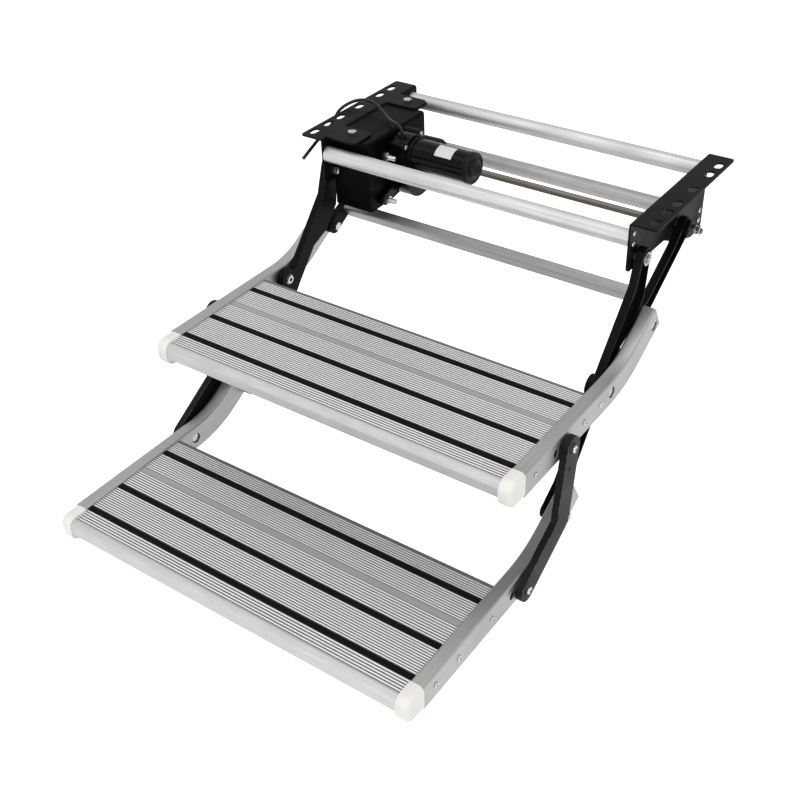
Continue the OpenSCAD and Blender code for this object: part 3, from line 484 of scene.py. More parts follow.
# Darker copy of the tube metal: painted shade on the arm tube.
ARM_TUBE = Metal("arm_tube_aluminium", (0.21, 0.208, 0.206), (0.28, 0.277, 0.274), (0.4, 0.5),
                 Grain.ALONG_X, 420.0)
ZINC = Metal("zinc_steel", (0.4, 0.4, 0.394), (0.54, 0.54, 0.533), (0.2, 0.32), Grain.EVEN, 500.0,
             stained=0.25, soft=0.0003)
SHAFT = Metal("shaft_steel", (0.11, 0.101, 0.09), (0.165, 0.153, 0.138), (0.34, 0.48), Grain.ALONG_X, 500.0,
              stain=(0.1, 0.08, 0.055), stained=0.4)
GEAR = Metal("gear_steel", (0.3, 0.3, 0.31), (0.42, 0.42, 0.43), (0.25, 0.4), Grain.EVEN, 600.0)
CORE = Metal("motor_core", (0.32, 0.16, 0.08), (0.42, 0.22, 0.12), (0.35, 0.5), Grain.ALONG_X, 400.0)
# The third colour of each coat is its rubbed edges, which also paint edge highlights.
BLACK = Coat("black_coat", (0.0035, 0.0035, 0.0036), (0.007, 0.007, 0.0072), (0.08, 0.08, 0.08),
             rub_and_highlight=0.7, gloss=0.045)
# Darker copy of the black coat: painted shade on the motor bracket.
BRACKET = Coat("bracket_coat", (0.0015, 0.0015, 0.0016), (0.003, 0.003, 0.0031), (0.06, 0.06, 0.06),
               rub_and_highlight=0.6, gloss=0.03)
# The pale edge colour of the links is mostly a painted edge highlight.
CHARCOAL = Coat("charcoal_coat", (0.01, 0.01, 0.0103), (0.016, 0.016, 0.0164), (0.3, 0.3, 0.3),
                rub_and_highlight=1.0, gloss=0.07)
MOTOR = Coat("motor_black", (0.002, 0.002, 0.0021), (0.004, 0.004, 0.0042), (0.05, 0.05, 0.05),
             (0.14, 0.22), peel=1500.0, rub_and_highlight=0.3, gloss=0.09)
CREAM = Moulded("cap_plastic", (0.86, 0.84, 0.795), (0.82, 0.8, 0.755), (0.4, 0.52), 1300.0, glow=0.12)
RUBBER = Moulded("grip_rubber", (0.003, 0.003, 0.003), (0.006, 0.006, 0.006), (0.6, 0.75), 900.0,
                 0.00012, specular=0.06)
PLASTIC = Moulded("black_plastic", (0.006, 0.006, 0.0063), (0.011, 0.011, 0.0115), (0.36, 0.48), 1500.0,
                  specular=0.12)
SHEATH = Moulded("cable_sheath", (0.008, 0.008, 0.0083), (0.013, 0.013, 0.0135), (0.3, 0.42), 2200.0,
                 specular=0.18)
BUSH = Moulded("bush_plastic", (0.66, 0.65, 0.6), (0.58, 0.57, 0.52), (0.42, 0.55), 1200.0)
PAPER = Moulded("label_film", (0.72, 0.72, 0.71), (0.66, 0.66, 0.65), (0.3, 0.42), 2500.0, 0.00003)


# ---------------------------------------------------------------- modelling
class Bench:
    """Modelling steps shared by the pieces."""

    @staticmethod
    def clear() -> None:
        """Leave edit mode with nothing selected."""
        if bpy.context.object is not None and bpy.context.object.mode != "OBJECT":
            bpy.ops.object.mode_set(mode="OBJECT")
        bpy.ops.object.select_all(action="DESELECT")

    @staticmethod
    def only(piece: Piece) -> None:
        """Select one object and make it active.

        Args:
            piece: The object.
        """
        Bench.clear()
        piece.select_set(True)
        bpy.context.view_layer.objects.active = piece

    @staticmethod
    def added(name: str) -> Piece:
        """Name the primitive that was just added and apply its place and size.

        Args:
            name: Name of the object.

        Returns:
            The primitive.
        """
        piece = bpy.context.object
        piece.name = name
        bpy.ops.object.transform_apply(location=True, rotation=True, scale=True)
        return piece

    @staticmethod
    def block(name: str, low: Sequence[float], high: Sequence[float]) -> Piece:
        """A box between two corners.

        Args:
            name: Name of the object.
            low: Lowest corner.
            high: Highest corner.

        Returns:
            The box, left in object mode.
        """
        Bench.clear()
        a, b = Vector(low), Vector(high)
        bpy.ops.mesh.primitive_cube_add(size=1.0, location=(a + b) / 2, scale=b - a)
        return Bench.added(name)

    @staticmethod
    def prism(name: str, sides: int, radius: float, bottom: float, top: float) -> Piece:
        """A prism standing on the Z axis.

        Args:
            name: Name of the object.
            sides: Number of sides.
            radius: Radius to the corners.
            bottom: Height of its lower end.
            top: Height of its upper end.

        Returns:
            The prism, left in object mode.
        """
        Bench.clear()
        bpy.ops.mesh.primitive_cylinder_add(vertices=sides, radius=radius, depth=top - bottom,
                                            location=(0.0, 0.0, (bottom + top) / 2))
        return Bench.added(name)

    @staticmethod
    def round_edges(piece: Piece, width: float, steps: int,
                    test: Callable[[Vector, Vector], bool]) -> None:
        """Round the edges that pass a test.

        Args:
            piece: Object to edit.
            width: Width of the rounding.
            steps: Segments of the rounding.
            test: Takes the two ends of an edge.
        """
        Bench.only(piece)
        bpy.ops.object.mode_set(mode="EDIT")
        bpy.ops.mesh.select_mode(type="EDGE")
        bpy.ops.mesh.select_all(action="DESELECT")
        for edge in bmesh.from_edit_mesh(piece.data).edges:
            edge.select_set(test(edge.verts[0].co, edge.verts[1].co))
        bmesh.update_edit_mesh(piece.data)
        bpy.ops.mesh.bevel(offset=width, segments=steps, profile=0.5, clamp_overlap=True)
        bpy.ops.object.mode_set(mode="OBJECT")

    @staticmethod
    def turned(name: str, profile: Sequence[Spot], steps: int = 32) -> Piece:
        """A piece turned about the Z axis.

        Args:
            name: Name of the object.
            profile: Radius and height of each point of the outline in mm.
            steps: Segments of a full turn.

        Returns:
            The turned piece, left in object mode.
        """
        points = [(r * MM, z * MM) for r, z in profile]
        Bench.clear()
        bpy.ops.mesh.primitive_plane_add(size=MM)
        piece = bpy.context.object
        piece.name = name
        bpy.ops.object.mode_set(mode="EDIT")
        bpy.ops.mesh.select_mode(type="VERT")
        bpy.ops.mesh.select_all(action="SELECT")
        bpy.ops.mesh.merge(type="CENTER")
        bpy.ops.transform.translate(value=(points[0][0], 0.0, points[0][1]))
        for (r0, z0), (r1, z1) in zip(points, points[1:]):
            bpy.ops.mesh.extrude_region_move(TRANSFORM_OT_translate={"value": (r1 - r0, 0.0, z1 - z0)})
        bpy.ops.mesh.select_all(action="SELECT")
        bpy.ops.mesh.spin(steps=steps, angle=2 * math.pi, center=(0, 0, 0), axis=(0, 0, 1))
        bpy.ops.mesh.select_all(action="SELECT")
        bpy.ops.mesh.remove_doubles(threshold=NEAR)
        bpy.ops.mesh.normals_make_consistent(inside=False)
        bpy.ops.object.mode_set(mode="OBJECT")
        return piece

    @staticmethod
    def cut(piece: Piece, tool: Piece, keep_common: bool = False) -> None:
        """Cut a piece with a tool body and remove the tool.

        Args:
            piece: Object to cut.
            tool: Closed body to cut with.
            keep_common: Keep what lies in both, instead of taking the tool away.
        """
        Bench.only(piece)
        bpy.ops.object.modifier_add(type="BOOLEAN")
        step = piece.modifiers[-1]
        step.object = tool
        step.operation = "INTERSECT" if keep_common else "DIFFERENCE"
        bpy.ops.object.modifier_apply(modifier=step.name)
        Bench.only(tool)
        bpy.ops.object.delete()

    @staticmethod
    def joined(name: str, parts: Sequence[Piece]) -> Piece:
        """Join objects into one.

        Args:
            name: Name of the joined object.
            parts: Objects to join.

        Returns:
            The joined object.
        """
        Bench.only(parts[0])
        for part in parts:
            part.select_set(True)
        if len(parts) > 1:
            bpy.ops.object.join()
        parts[0].name = name
        parts[0].data.name = name
        return parts[0]

    @staticmethod
    def copies(name: str, model: Piece, places: Sequence[Matrix]) -> Piece:
        """Put copies of a model at several places, as one object.

        Args:
            name: Name of the joined copies.
            model: Piece modelled on the Z axis, removed afterwards.
            places: Where the copies go.

        Returns:
            The joined copies.
        """
        parts = []
        for place in places:
            part = model.copy()
            part.data = model.data.copy()
            part.data.transform(place)
            bpy.context.collection.objects.link(part)
            parts.append(part)
        Bench.only(model)
        bpy.ops.object.delete()
        return Bench.joined(name, parts)

    @staticmethod
    def settle(piece: Piece, body: Body, finish: Finish, slot: str, nodes: Sequence[str] = (),
               angle: float = 40.0) -> None:
        """Finish a piece: smooth it, dress it and let it ride.

        Args:
            piece: The finished object.
            body: Body that carries it.
            finish: Its surface.
            slot: Material slot of the record; not used.
            nodes: CAD nodes that it stands for.
            angle: Edges sharper than this stay sharp, in degrees.
        """
        Bench.only(piece)
        bpy.ops.object.mode_set(mode="EDIT")
        bpy.ops.mesh.select_all(action="SELECT")
        bpy.ops.mesh.normals_make_consistent(inside=False)
        bpy.ops.object.mode_set(mode="OBJECT")
        bpy.ops.object.shade_smooth_by_angle(angle=math.radians(angle))
        finish.on_piece(piece)
        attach(piece, body.value)
        if nodes:
            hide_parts(*nodes)
        LOG.info("piece %s: %d faces on %s", piece.name, len(piece.data.polygons), body.value)


def fasteners(name: str, model: Piece, places: Sequence[Matrix], body: Body, node: str) -> None:
    """Put copies of a zinc-plated fastener at their places, for one CAD node."""
    Bench.settle(Bench.copies(name, model, places), body, ZINC, "zinc_steel", [node])


def along_x(x: float, y: float, z: float, side: int) -> Matrix:
    """Place a model at mm, its Z axis along +X on the right (side 1) or -X on the left (side -1)."""
    return Matrix.Translation(Vector((side * x, y, z)) * MM) @ Matrix.Rotation(side * math.pi / 2, 4, "Y")


def both_sides(x: float, spots: Sequence[Spot], inward: bool = False) -> list[Matrix]:
    """Places in mm at the same distance on both sides, pointing away from the middle or inward."""
    turn = Matrix.Rotation(math.pi, 4, "X") if inward else Matrix.Identity(4)
    return [along_x(x, y, z, side) @ turn for side in (1, -1) for y, z in spots]


@dataclass(frozen=True)
class HexBolt:
    """Hexagon bolt whose head sits on z = 0, pointing up."""

    across: float = 13.0
    head: float = 5.3
    shank: float = 8.0
    length: float = 20.0
    thread: float = 8.0
    pitch: float = 1.25
    nut_at: float | None = None
    nut: float = 6.5
    chamfer: float = 30.0
    end_face: float = 0.475
    play: float = 0.02
    overlap: float = 0.5
    thread_depth: float = 0.55
    point: float = 0.8

    def chamfered(self, bottom: float, height: float, both: bool) -> Piece:
        """A hexagon with turned chamfers.

        Args:
            bottom: Height of its lower face in mm.
            height: Its height in mm.
            both: Chamfer the lower face too.

        Returns:
            The hexagon.
        """
        corner, flat, top = self.across / math.sqrt(3), self.across * self.end_face, bottom + height
        drop = (corner - flat) * math.tan(math.radians(self.chamfer))
        rim = corner + self.play
        body = Bench.prism("hexagon", 6, corner * MM, bottom * MM, top * MM)
        start = [(flat, bottom), (rim, bottom + drop)] if both else [(rim, bottom - self.overlap)]
        outline = [(0.0, start[0][1]), *start, (rim, top - drop), (flat, top), (0.0, top)]
        tool = Bench.turned("chamfer", outline, steps=48)
        Bench.cut(body, tool, keep_common=True)
        return body

    def cap(self) -> Piece:
        """The head of the bolt."""
        return self.chamfered(0.0, self.head, False)

    def rod(self) -> Piece:
        """The shank, with thread crests on its free end.

        Returns:
            The shank.
        """
        r = self.shank / 2
        z = self.thread - self.length
        outline = [(0.0, self.overlap), (r, self.overlap), (r, z)]
        while z - self.pitch > self.point - self.length:
            outline += [(r - self.thread_depth, z - self.pitch * 0.45), (r, z - self.pitch * 0.9),
                        (r, z - self.pitch)]
            z -= self.pitch
        outline += [(r - self.point, -self.length), (0.0, -self.length)]
        return Bench.turned("rod", outline, steps=24)

    def build(self) -> Piece:
        """Model the bolt.

        Returns:
            The bolt on the Z axis.
        """
        parts = [self.cap(), self.rod()]
        if self.nut_at is not None:
            parts.append(self.chamfered(-self.nut_at, self.nut, True))
        return Bench.joined("hex_bolt", parts)


@dataclass(frozen=True)
class ButtonBolt(HexBolt):
    """Bolt with a low domed head and a hexagon socket."""

    head: float = 3.0
    dome: float = 11.5
    socket: float = 5.0

    def cap(self) -> Piece:
        """The domed head with its socket.

        Returns:
            The head.
        """
        r, h = self.dome / 2, self.head
        outline = [(0.0, -0.2), (r - 0.2, -0.2), (r, 0.1), (r, h * 0.3), (r * 0.94, h * 0.58),
                   (r * 0.82, h * 0.8), (r * 0.66, h * 0.95), (r * 0.5, h), (0.0, h)]
        head = Bench.turned("dome", outline, steps=40)
        corner = self.socket / math.sqrt(3)
        Bench.cut(head, Bench.prism("socket", 6, corner * MM, h * 0.35 * MM, h * 1.5 * MM))
        return head


@dataclass(frozen=True)
class PanScrew:
    """Cross-recessed pan head screw whose head sits on z = 0."""

    head: float = 9.0
    height: float = 2.0
    shank: float = 4.8
    length: float = 12.0
    recess: float = 0.62
    recess_width: float = 0.13

    def build(self) -> Piece:
        """Model the screw.

        Returns:
            The screw on the Z axis.
        """
        r, h = self.head / 2, self.height
        outline = [(0.0, -self.length), (self.shank / 2, -self.length + 1.0), (self.shank / 2, 0.0),
                   (r - 0.15, 0.0), (r, 0.2), (r, h * 0.35), (r * 0.93, h * 0.66), (r * 0.78, h * 0.87),
                   (r * 0.55, h * 0.97), (r * 0.3, h), (0.0, h)]
        screw = Bench.turned("pan_screw", outline)
        arm, half = r * self.recess, r * self.recess_width
        for size in ((arm, half), (half, arm)):
            slot = Bench.block("recess", (-size[0] * MM, -size[1] * MM, h * 0.3 * MM),
                               (size[0] * MM, size[1] * MM, h * 1.5 * MM))
            Bench.cut(screw, slot)
        return screw


@dataclass(frozen=True)
class BlindRivet:
    """Domed blind rivet with its broken mandrel, head on z = 0."""

    head: float = 9.0
    height: float = 1.6
    shank: float = 4.8
    length: float = 4.0
    mandrel: float = 0.28

    def build(self) -> Piece:
        """Model the rivet.

        Returns:
            The rivet on the Z axis.
        """
        r, h, pin = self.head / 2, self.height, self.shank * self.mandrel
        outline = [(0.0, -self.length), (self.shank / 2 + 0.6, -self.length), (self.shank / 2, 0.0),
                   (r - 0.1, 0.0), (r, 0.15), (r * 0.95, h * 0.4), (r * 0.8, h * 0.72), (r * 0.6, h * 0.92),
                   (r * 0.42, h), (pin + 0.2, h * 0.96), (pin, h * 0.45), (pin - 0.2, h * 0.3),
                   (0.0, h * 0.36)]
        return Bench.turned("blind_rivet", outline)


TUBE_SCREW = PanScrew(head=8.0, height=2.0, shank=4.0)
SPLIT_BOLT = HexBolt(head=17.5, length=2.0, thread=2.0)


# ---------------------------------------------------------------- sub-assemblies
class SubAssembly(ABC):
    """A group of pieces that is dressed and completed together."""

    def dress(self) -> None:
        """Put finishes on the CAD nodes."""

    def build(self) -> None:
        """Model the pieces that stand for nodes."""


@dataclass
class SupplyCable(SubAssembly):
    """Two-core supply cable from the gland on the gearbox, with a cut end."""

    diameter: float = 5.5
    route: list[Point] = field(default_factory=lambda: [
        (-181, -34, -6.9), (-181, -34, -2.8), (-183.4, -33.4, 1.4), (-189, -31.8, 4.2), (-197, -28.6, 5.0),
        (-208, -23, 4.2), (-220, -15.5, 3.4), (-233, -7, 4.2), (-246, 0.8, 6.4), (-259, 7.2, 9.2),
        (-272, 11.3, 11.3), (-284, 12.5, 12), (-295, 10.6, 11.4), (-304.5, 5, 9.6), (-311, -4, 7),
        (-315.3, -13.5, 3.6), (-317.2, -23, -0.2), (-315.6, -32.5, -3.8), (-311, -43, -6.4),
        (-306.5, -56, -8.4), (-303.5, -71, -10.6), (-301.5, -88, -14), (-300.3, -105, -18.8),
        (-299.8, -120, -24.4), (-299.8, -133, -30), (-300, -144, -35)])

    def build(self) -> None:
        curve = bpy.data.curves.new("supply_cable", "CURVE")
        curve.dimensions = "3D"
        curve.bevel_depth = self.diameter / 2 * MM
        curve.bevel_resolution = 6
        curve.resolution_u = 6
        curve.use_fill_caps = True
        spline = curve.splines.new("BEZIER")
        spline.bezier_points.add(len(self.route) - 1)
        for knot, point in zip(spline.bezier_points, self.route):
            knot.co = Vector(point) * MM
            knot.handle_left_type = knot.handle_right_type = "AUTO"
        piece = bpy.data.objects.new("supply_cable", curve)
        bpy.context.collection.objects.link(piece)
        bpy.context.view_layer.update()
        SHEATH.on_piece(piece)
        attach(piece, Body.FRAME.value)
        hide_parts("motor_cable")
        LOG.info("cable of %.3f m", spline.calc_length())


@dataclass
class SideFrame(SubAssembly):
    """Side plates, cross tubes and the fasteners that hold them."""

    plate_out: float = 272.0
    pivot: Spot = (-103.0, -63.0)
    pivot_face: float = 269.0
    tube_spots: Spots = (
        (-118.5, -37.5), (-118.5, -20.5), (121.0, -29.0), (121.0, -12.0), (121.0, -106.5), (121.0, -89.5))
    cover_face: float = -164.0
    cover_spots: Spots = ((-47.956, -21.441), (-4.778, -13.438), (72.662, -89.98))

    def dress(self) -> None:
        """Put finishes on the CAD nodes."""
        BLACK.on_nodes("left_side_plate", "right_side_plate")
        TUBE.on_nodes("front_cross_tube", "rear_upper_tube")
        # The rear lower tube gets the darker tube metal as painted shade.
        SHADED_TUBE.on_nodes("rear_lower_tube")
        GEAR.on_nodes("lever_pivot_washers", "frame_nuts")

    def build(self) -> None:
        """Model the screws of the tubes and the gearbox cover, and the lever pivot bolts."""
        places = both_sides(self.plate_out, self.tube_spots)
        places += [along_x(self.cover_face, y, z, 1) for y, z in self.cover_spots]
        fasteners("frame_pan_screws", TUBE_SCREW.build(), places, Body.FRAME, "frame_screws")
        fasteners("lever_pivot_hex_bolts", HexBolt(length=24.8, thread=14.0).build(),
                  both_sides(self.pivot_face, [self.pivot], inward=True), Body.FRAME, "lever_pivot_bolts")


@dataclass
class Drive(SubAssembly):
    """Motor bracket, gearbox and motor at the left."""

    axis: Spot = (-22.0, -41.0)
    can_radius: float = 25.5
    cover_radius: float = 26.0
    cover_ends: Span = (-59.0, -47.0)
    label_x: Span = (-114.5, -82.5)
    label_angles: Span = (84.0, 142.0)
    label_film: float = 0.15
    label_gap: float = 0.02
    bracket_bolts: tuple[Point, ...] = ((-242.0, -86.0, 0.0), (-242.0, 69.0, 0.0))
    lug_face: float = 200.0
    lug_spots: Spots = ((-72.0, -109.0), (-70.0, -34.0))

    def dress(self) -> None:
        """Put finishes on the CAD nodes."""
        # The bracket gets a darker coat as painted shade.
        BRACKET.on_nodes("motor_bracket")
        MOTOR.on_nodes("gearbox_housing", "gearbox_cover", "motor_clamp_ring", "motor_can")
        ZINC.on_nodes("gearbox_nuts", "idler_spindle", "motor_bearings")
        GEAR.on_nodes("idler_gear", "motor_pinion", "motor_magnets")
        CORE.on_nodes("motor_armature")
        PLASTIC.on_nodes("cable_gland")

    def turned_on_axis(self, x: float) -> Matrix:
        """Place a model's Z axis on the motor's axis, pointing to +X, its origin at x in mm."""
        return along_x(x, self.axis[0], self.axis[1], 1)

    def build_cover(self) -> None:
        """Model the turned end cover of the motor: rim, groove, dished face and bearing boss."""
        r, length = self.cover_radius, self.cover_ends[1] - self.cover_ends[0]
        rim = [(0.0, 0.0), (r - 0.4, 0.0), (r, 0.4), (r, 2.6), (r - 0.9, 3.1), (r - 0.9, 3.9), (r, 4.4)]
        dish = [(r, length - 4.6), (r - 0.6, length - 3.4), (r - 1.8, length - 2.6), (r - 3.4, length - 2.6),
                (r - 4.4, length - 3.6), (16.4, length - 4.0)]
        boss = [(15.8, length - 3.4), (15.4, length - 1.4), (14.4, length - 0.5), (10.4, length - 0.3),
                (9.8, length - 1.3), (4.4, length - 1.4), (4.0, length - 0.7), (0.0, length - 0.6)]
        cover = Bench.turned("motor_end_cover", rim + dish + boss, steps=64)
        cover.data.transform(self.turned_on_axis(self.cover_ends[0]))
        Bench.settle(cover, Body.FRAME, PLASTIC, "black_plastic", ["motor_end_cap"])

    def build_label(self) -> None:
        """Model the blank label that is glued around the motor can."""
        start, end = self.label_angles
        height = (self.label_x[1] - self.label_x[0]) * MM
        Bench.clear()
        radius = (self.can_radius + self.label_gap) * MM
        bpy.ops.mesh.primitive_circle_add(vertices=180, radius=radius, fill_type="NOTHING")
        label = bpy.context.object
        label.name = "motor_label"
        bpy.ops.object.mode_set(mode="EDIT")
        bpy.ops.mesh.select_mode(type="VERT")
        bpy.ops.mesh.select_all(action="DESELECT")
        mesh = bmesh.from_edit_mesh(label.data)
        for vert in mesh.verts:
            angle = math.degrees(math.atan2(vert.co.y, vert.co.x))
            vert.select_set(not start <= angle <= end)
        bmesh.update_edit_mesh(label.data)
        bpy.ops.mesh.delete(type="VERT")
        bpy.ops.mesh.select_all(action="SELECT")
        bpy.ops.mesh.extrude_region_move(TRANSFORM_OT_translate={"value": (0.0, 0.0, height)})
        bpy.ops.mesh.select_all(action="SELECT")
        bpy.ops.mesh.normals_make_consistent(inside=False)
        bpy.ops.object.mode_set(mode="OBJECT")
        bpy.ops.object.modifier_add(type="SOLIDIFY")
        film = label.modifiers[-1]
        film.thickness = self.label_film * MM
        film.offset = 1.0
        bpy.ops.object.modifier_apply(modifier=film.name)
        label.data.transform(self.turned_on_axis(self.label_x[0]) @ Matrix.Rotation(math.pi / 2, 4, "Z"))
        Bench.settle(label, Body.FRAME, PAPER, "bush_plastic")

    def build_bolts(self) -> None:
        """Model the bolts of the bracket and the gearbox."""
        upright = [Matrix.Translation(Vector(place) * MM) for place in self.bracket_bolts]
        top_bolt = HexBolt(head=4.0, length=14.5, thread=4.0)
        fasteners("bracket_hex_bolts", top_bolt.build(), upright, Body.FRAME, "bracket_bolts")
        places = [along_x(self.lug_face, y, z, -1) for y, z in self.lug_spots]
        lug_bolt = HexBolt(length=31.0, thread=24.0)
        fasteners("gearbox_hex_bolts", lug_bolt.build(), places, Body.FRAME, "gearbox_bolts")

    def build(self) -> None:
        """Model the pieces of the drive."""
        self.build_cover()
        self.build_label()
        self.build_bolts()


@dataclass
class RearArms(SubAssembly):
    """Drive shaft, rear arms and what is fixed to them."""

    screw_face: float = 278.5
    screw_spots: Spots = ((-71.47, -152.17), (-63.71, -147.22))

    def dress(self) -> None:
        """Put finishes on the CAD nodes."""
        BLACK.on_nodes("left_rear_arm", "right_rear_arm")
        # The arm tube gets a darker tube metal as painted shade.
        ARM_TUBE.on_nodes("arm_cross_tube")
        SHAFT.on_nodes("drive_shaft")
        BUSH.on_nodes("shaft_bushes")
        ZINC.on_nodes("shaft_castle_nuts", "shaft_clips", "arm_studs")
        GEAR.on_nodes("output_gear")

    def build(self) -> None:
        """Model the end screws of the arm tube."""
        fasteners("arm_tube_end_screws", TUBE_SCREW.build(), both_sides(self.screw_face, self.screw_spots),
                  Body.ARMS, "arm_tube_screws")


@dataclass
class FrontLevers(SubAssembly):
    """Pressed front levers with their bushes."""

    def dress(self) -> None:
        """Put finishes on the CAD nodes."""
        BLACK.on_nodes("left_front_lever", "right_front_lever")
        ZINC.on_nodes("lever_bushes")


@dataclass
class OuterLinks(SubAssembly):
    """Dog-leg links from the upper to the lower tread."""

    face: float = 324.8
    foot: Spot = (-474.0, -386.5)

    def dress(self) -> None:
        """Put finishes on the CAD nodes."""
        CHARCOAL.on_nodes("left_outer_link", "right_outer_link")

    def build(self) -> None:
        """Model the foot bolts."""
        fasteners("link_foot_button_bolts", ButtonBolt(length=11.3, thread=10.0).build(),
                  both_sides(self.face, [self.foot]), Body.LINKS, "link_foot_bolts")


@dataclass
class Tread(SubAssembly):
    """One tread: deck, rails, end caps, grip strips and fasteners."""

    name: str
    body: Body
    screw_spots: Spots
    rail_out: float = 311.0
    cap_length: float = 35.0
    cap_nose: float = 15.0
    cap_side: float = 7.0
    cap_rim: float = 0.8
    screw_length: float = 40.0
    rib_top: float = 0.0
    front_strip: float = 0.0

    def dress(self) -> None:
        """Put finishes on the CAD nodes."""
        deck = replace(DECK, name=f"{self.name}_deck_aluminium", rib_top=self.rib_top * MM,
                       front=self.front_strip * MM)
        deck.on_nodes(f"{self.name}_deck")
        RAIL.on_nodes(f"{self.name}_left_rail", f"{self.name}_right_rail")
        RUBBER.on_nodes(f"{self.name}_grip_strips")

    def build_caps(self) -> None:
        """Model the moulded end caps of the rails."""
        low, high = (Vector(corner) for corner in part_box(f"{self.name}_right_cap"))
        back = low.y + self.cap_length * MM
        cap = Bench.block("end_cap", low, (high.x, back, high.z))
        Bench.round_edges(cap, self.cap_nose * MM, 9,
                          lambda a, b: max(a.y, b.y) < low.y + NEAR and abs(a.z - b.z) < NEAR)
        Bench.round_edges(cap, self.cap_side * MM, 6,
                          lambda a, b: min(a.x, b.x) > high.x - NEAR and min(a.y, b.y) <= back - NEAR)
        Bench.round_edges(cap, self.cap_rim * MM, 2,
                          lambda a, b: max(a.x, b.x) < low.x + NEAR and min(a.y, b.y) <= back - NEAR)
        mirror = Matrix.Scale(-1.0, 4, (1.0, 0.0, 0.0))
        other = cap.copy()
        other.data = cap.data.copy()
        other.data.transform(mirror)
        bpy.context.collection.objects.link(other)
        for side, piece in (("right", cap), ("left", other)):
            piece.name = f"{self.name}_{side}_end_cap"
            Bench.settle(piece, self.body, CREAM, "cap_plastic", [f"{self.name}_{side}_cap"])

    def build_screws(self) -> None:
        """Model the deck screws in the rails."""
        fasteners(f"{self.name}_deck_screws", PanScrew(length=self.screw_length).build(),
                  both_sides(self.rail_out, self.screw_spots), self.body, f"{self.name}_rail_screws")

    @abstractmethod
    def build_bolts(self) -> None:
        """Model the pivot bolts."""

    def build(self) -> None:
        """Model the pieces of the tread."""
        self.build_caps()
        self.build_screws()
        self.build_bolts()


@dataclass
class UpperTread(Tread):
    """Upper tread, which also carries the outer links."""

    name: str = "upper"
    body: Body = Body.UPPER
    rib_top: float = -193.0
    front_strip: float = -462.0
    screw_spots: Spots = ((-443.5, -211.0), (-310.5, -211.0))
    rivet_spot: Spot = (-262.5, -211.0)
    pivot_face: float = 292.0
    lever_spot: Spot = (-231.0, -209.0)
    arm_spot: Spot = (-104.0, -167.0)
    link_face: float = 325.1
    link_spot: Spot = (-366.0, -214.0)

    def build_bolts(self) -> None:
        """Model the rivets, lever bolts, arm bolts and link bolts."""
        fasteners("upper_blind_rivets", BlindRivet().build(), both_sides(self.rail_out, [self.rivet_spot]),
                  self.body, "upper_rail_rivets")
        lever_bolt = HexBolt(head=17.5, length=18.8, thread=12.0, nut_at=18.8, nut=2.0)
        lever = Bench.copies("upper_lever_bolts", lever_bolt.build(),
                             both_sides(self.pivot_face, [self.lever_spot]))
        arm = Bench.copies("upper_arm_bolts", SPLIT_BOLT.build(),
                           both_sides(self.pivot_face, [self.arm_spot]))
        bolts = Bench.joined("upper_hex_bolts", [lever, arm])
        Bench.settle(bolts, self.body, ZINC, "zinc_steel", ["upper_bolts"])
        link_bolt = ButtonBolt(length=22.6, thread=14.0, nut_at=33.6, nut=17.5)
        fasteners("link_top_button_bolts", link_bolt.build(), both_sides(self.link_face, [self.link_spot]),
                  self.body, "link_top_bolts")


@dataclass
class LowerTread(Tread):
    """Lower tread."""

    name: str = "lower"
    body: Body = Body.LOWER
    rib_top: float = -369.0
    front_strip: float = -697.0
    screw_spots: Spots = ((-678.5, -387.0), (-626.0, -387.0), (-545.5, -387.0))
    lever_spot: Spot = (-348.0, -354.5)
    link_face: float = 309.0
    link_spot: Spot = (-474.0, -386.5)

    def build_bolts(self) -> None:
        """Model the lever bolts and link bolts."""
        lever_bolt = HexBolt(length=37.8, thread=30.0, nut_at=37.8, nut=2.0)
        lever = Bench.copies("lower_lever_bolts", lever_bolt.build(),
                             both_sides(self.rail_out, [self.lever_spot]))
        link = Bench.copies("lower_link_bolts", SPLIT_BOLT.build(),
                            both_sides(self.link_face, [self.link_spot], inward=True))
        bolts = Bench.joined("lower_hex_bolts", [lever, link])
        Bench.settle(bolts, self.body, ZINC, "zinc_steel", ["lower_bolts"])


@dataclass(frozen=True)
class Lamp:
    """Soft square lamp: where it hangs, what it faces, its width in metres and its power in watts."""

    name: str
    place: Point
    aim: Point
    size: float
    power: float

    def hang(self) -> None:
        """Add the lamp to the scene."""
        data = bpy.data.lights.new(self.name, "AREA")
        data.shape = "SQUARE"
        data.size = self.size
        data.energy = self.power
        lamp = bpy.data.objects.new(self.name, data)
        bpy.context.collection.objects.link(lamp)
        lamp.location = self.place
        lamp.rotation_euler = (Vector(self.aim) - Vector(self.place)).to_track_quat("-Z", "Y").to_euler()


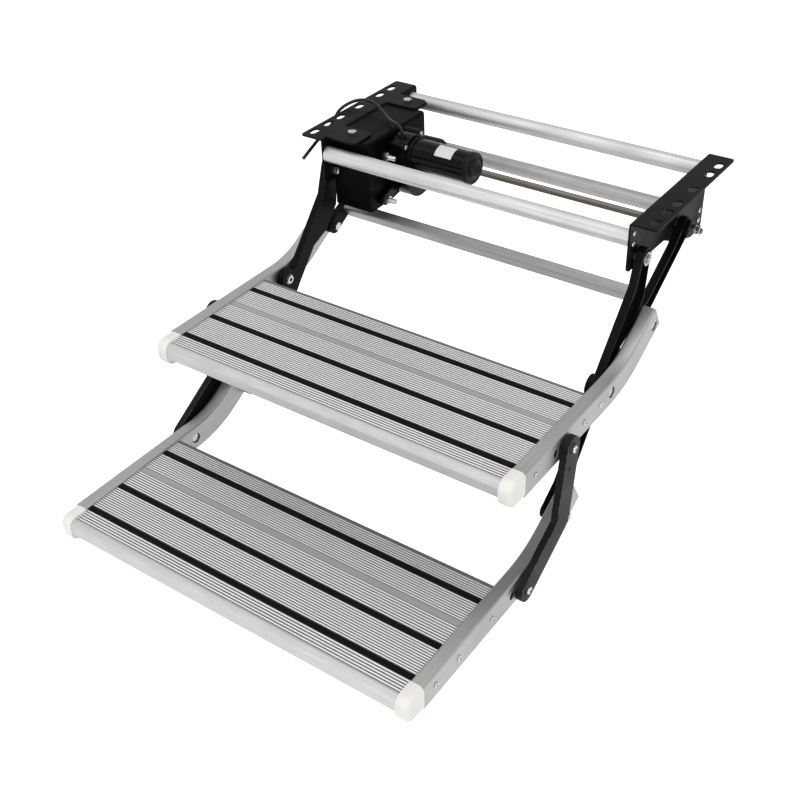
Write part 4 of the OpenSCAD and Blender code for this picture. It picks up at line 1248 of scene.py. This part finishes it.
@dataclass
class Studio:
    """Camera, floor and light of the picture."""

    place: Point = (0.8652, -1.4763, 0.7685)
    azimuth: float = 36.619
    elevation: float = 36.265
    roll: float = -2.318
    lens: float = 52.8726
    sensor: float = 36.0
    floor_z: float = -0.5
    floor_size: float = 14.0
    floor_tone: Colour = (0.86, 0.86, 0.86)
    floor_rough: float = 0.9
    floor_gloss: float = 0.1
    floor_glow: float = 0.8
    ambient: float = 0.46
    lamps: tuple[Lamp, ...] = (
        Lamp("top_box", (-0.3, -0.7, 2.2), (0.0, -0.3, -0.2), 2.2, 22.5),
        Lamp("side_box", (2.2, -1.3, 0.9), (0.0, -0.3, -0.2), 1.4, 20.0),
        Lamp("front_box", (-0.5, -2.6, 0.3), (0.0, -0.5, -0.3), 1.8, 14.0))

    def camera(self) -> None:
        """Set up the camera as the photograph was taken."""
        a, e, r = (math.radians(v) for v in (self.azimuth, self.elevation, self.roll))
        back = Vector((math.sin(a) * math.cos(e), -math.cos(a) * math.cos(e), math.sin(e)))
        right = Vector((math.cos(a), math.sin(a), 0.0))
        up = back.cross(right)
        right, up = math.cos(r) * right + math.sin(r) * up, math.cos(r) * up - math.sin(r) * right
        data = bpy.data.cameras.new("camera")
        data.sensor_width = self.sensor
        data.lens = self.lens
        camera = bpy.data.objects.new("camera", data)
        bpy.context.collection.objects.link(camera)
        turn = Matrix((right, up, back)).transposed().to_4x4()
        camera.matrix_world = Matrix.Translation(self.place) @ turn
        bpy.context.scene.camera = camera

    @staticmethod
    def backdrop_rays(tree: bpy.types.NodeTree) -> Socket:
        """Tell the rays that see the white backdrop from those that light the object.

        Args:
            tree: Node tree of the floor or the world.

        Returns:
            Socket that is 1 for camera, glossy and transmission rays.
        """
        rays = tree.nodes.new("ShaderNodeLightPath")
        seen = rays.outputs["Is Camera Ray"]
        for kind in ("Is Glossy Ray", "Is Transmission Ray"):
            total = tree.nodes.new("ShaderNodeMath")
            total.operation = "MAXIMUM"
            tree.links.new(seen, total.inputs[0])
            tree.links.new(rays.outputs[kind], total.inputs[1])
            seen = total.outputs["Value"]
        return seen

    def floor(self) -> None:
        """Lay a pale floor that looks white and keeps a faint shadow."""
        Bench.clear()
        bpy.ops.mesh.primitive_plane_add(size=self.floor_size, location=(0.0, 0.0, self.floor_z))
        floor = bpy.context.object
        floor.name = "floor"
        tree = Tree("studio_floor")
        tree.hold("Base Color", (*self.floor_tone, 1.0))
        tree.hold("Roughness", self.floor_rough)
        tree.hold("Specular IOR Level", self.floor_gloss)
        tree.hold("Emission Color", WHITE)
        rays = self.backdrop_rays(tree.material.node_tree)
        tree.feed("Emission Strength", tree.spread(rays, 0.0, self.floor_glow, 0.0, 1.0))
        floor.data.materials.append(tree.material)

    def world(self) -> None:
        """Surround the object with soft light and a white backdrop."""
        world = bpy.data.worlds.new("studio")
        world.use_nodes = True
        bpy.context.scene.world = world
        nodes, links = world.node_tree.nodes, world.node_tree.links
        level = nodes.new("ShaderNodeMapRange")
        level.inputs["To Min"].default_value = self.ambient
        level.inputs["To Max"].default_value = 1.0
        links.new(self.backdrop_rays(world.node_tree), level.inputs["Value"])
        links.new(level.outputs["Result"], nodes["Background"].inputs["Strength"])
        nodes["Background"].inputs["Color"].default_value = WHITE

    def build(self) -> None:
        """Set up the whole studio."""
        bpy.context.scene.view_settings.view_transform = "Standard"
        self.floor()
        self.world()
        for lamp in self.lamps:
            lamp.hang()


def main() -> None:
    """Build every sub-assembly in order and report it."""
    logging.basicConfig(level=logging.INFO, format="%(name)s: %(message)s")
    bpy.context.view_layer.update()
    studio = Studio()
    studio.camera()
    assemblies: list[SubAssembly] = [
        SupplyCable(), SideFrame(), Drive(), RearArms(), FrontLevers(), OuterLinks(), UpperTread(),
        LowerTread()]
    for assembly in assemblies:
        assembly.dress()
        assembly.build()
    studio.build()


if __name__ == "__main__":
    main()
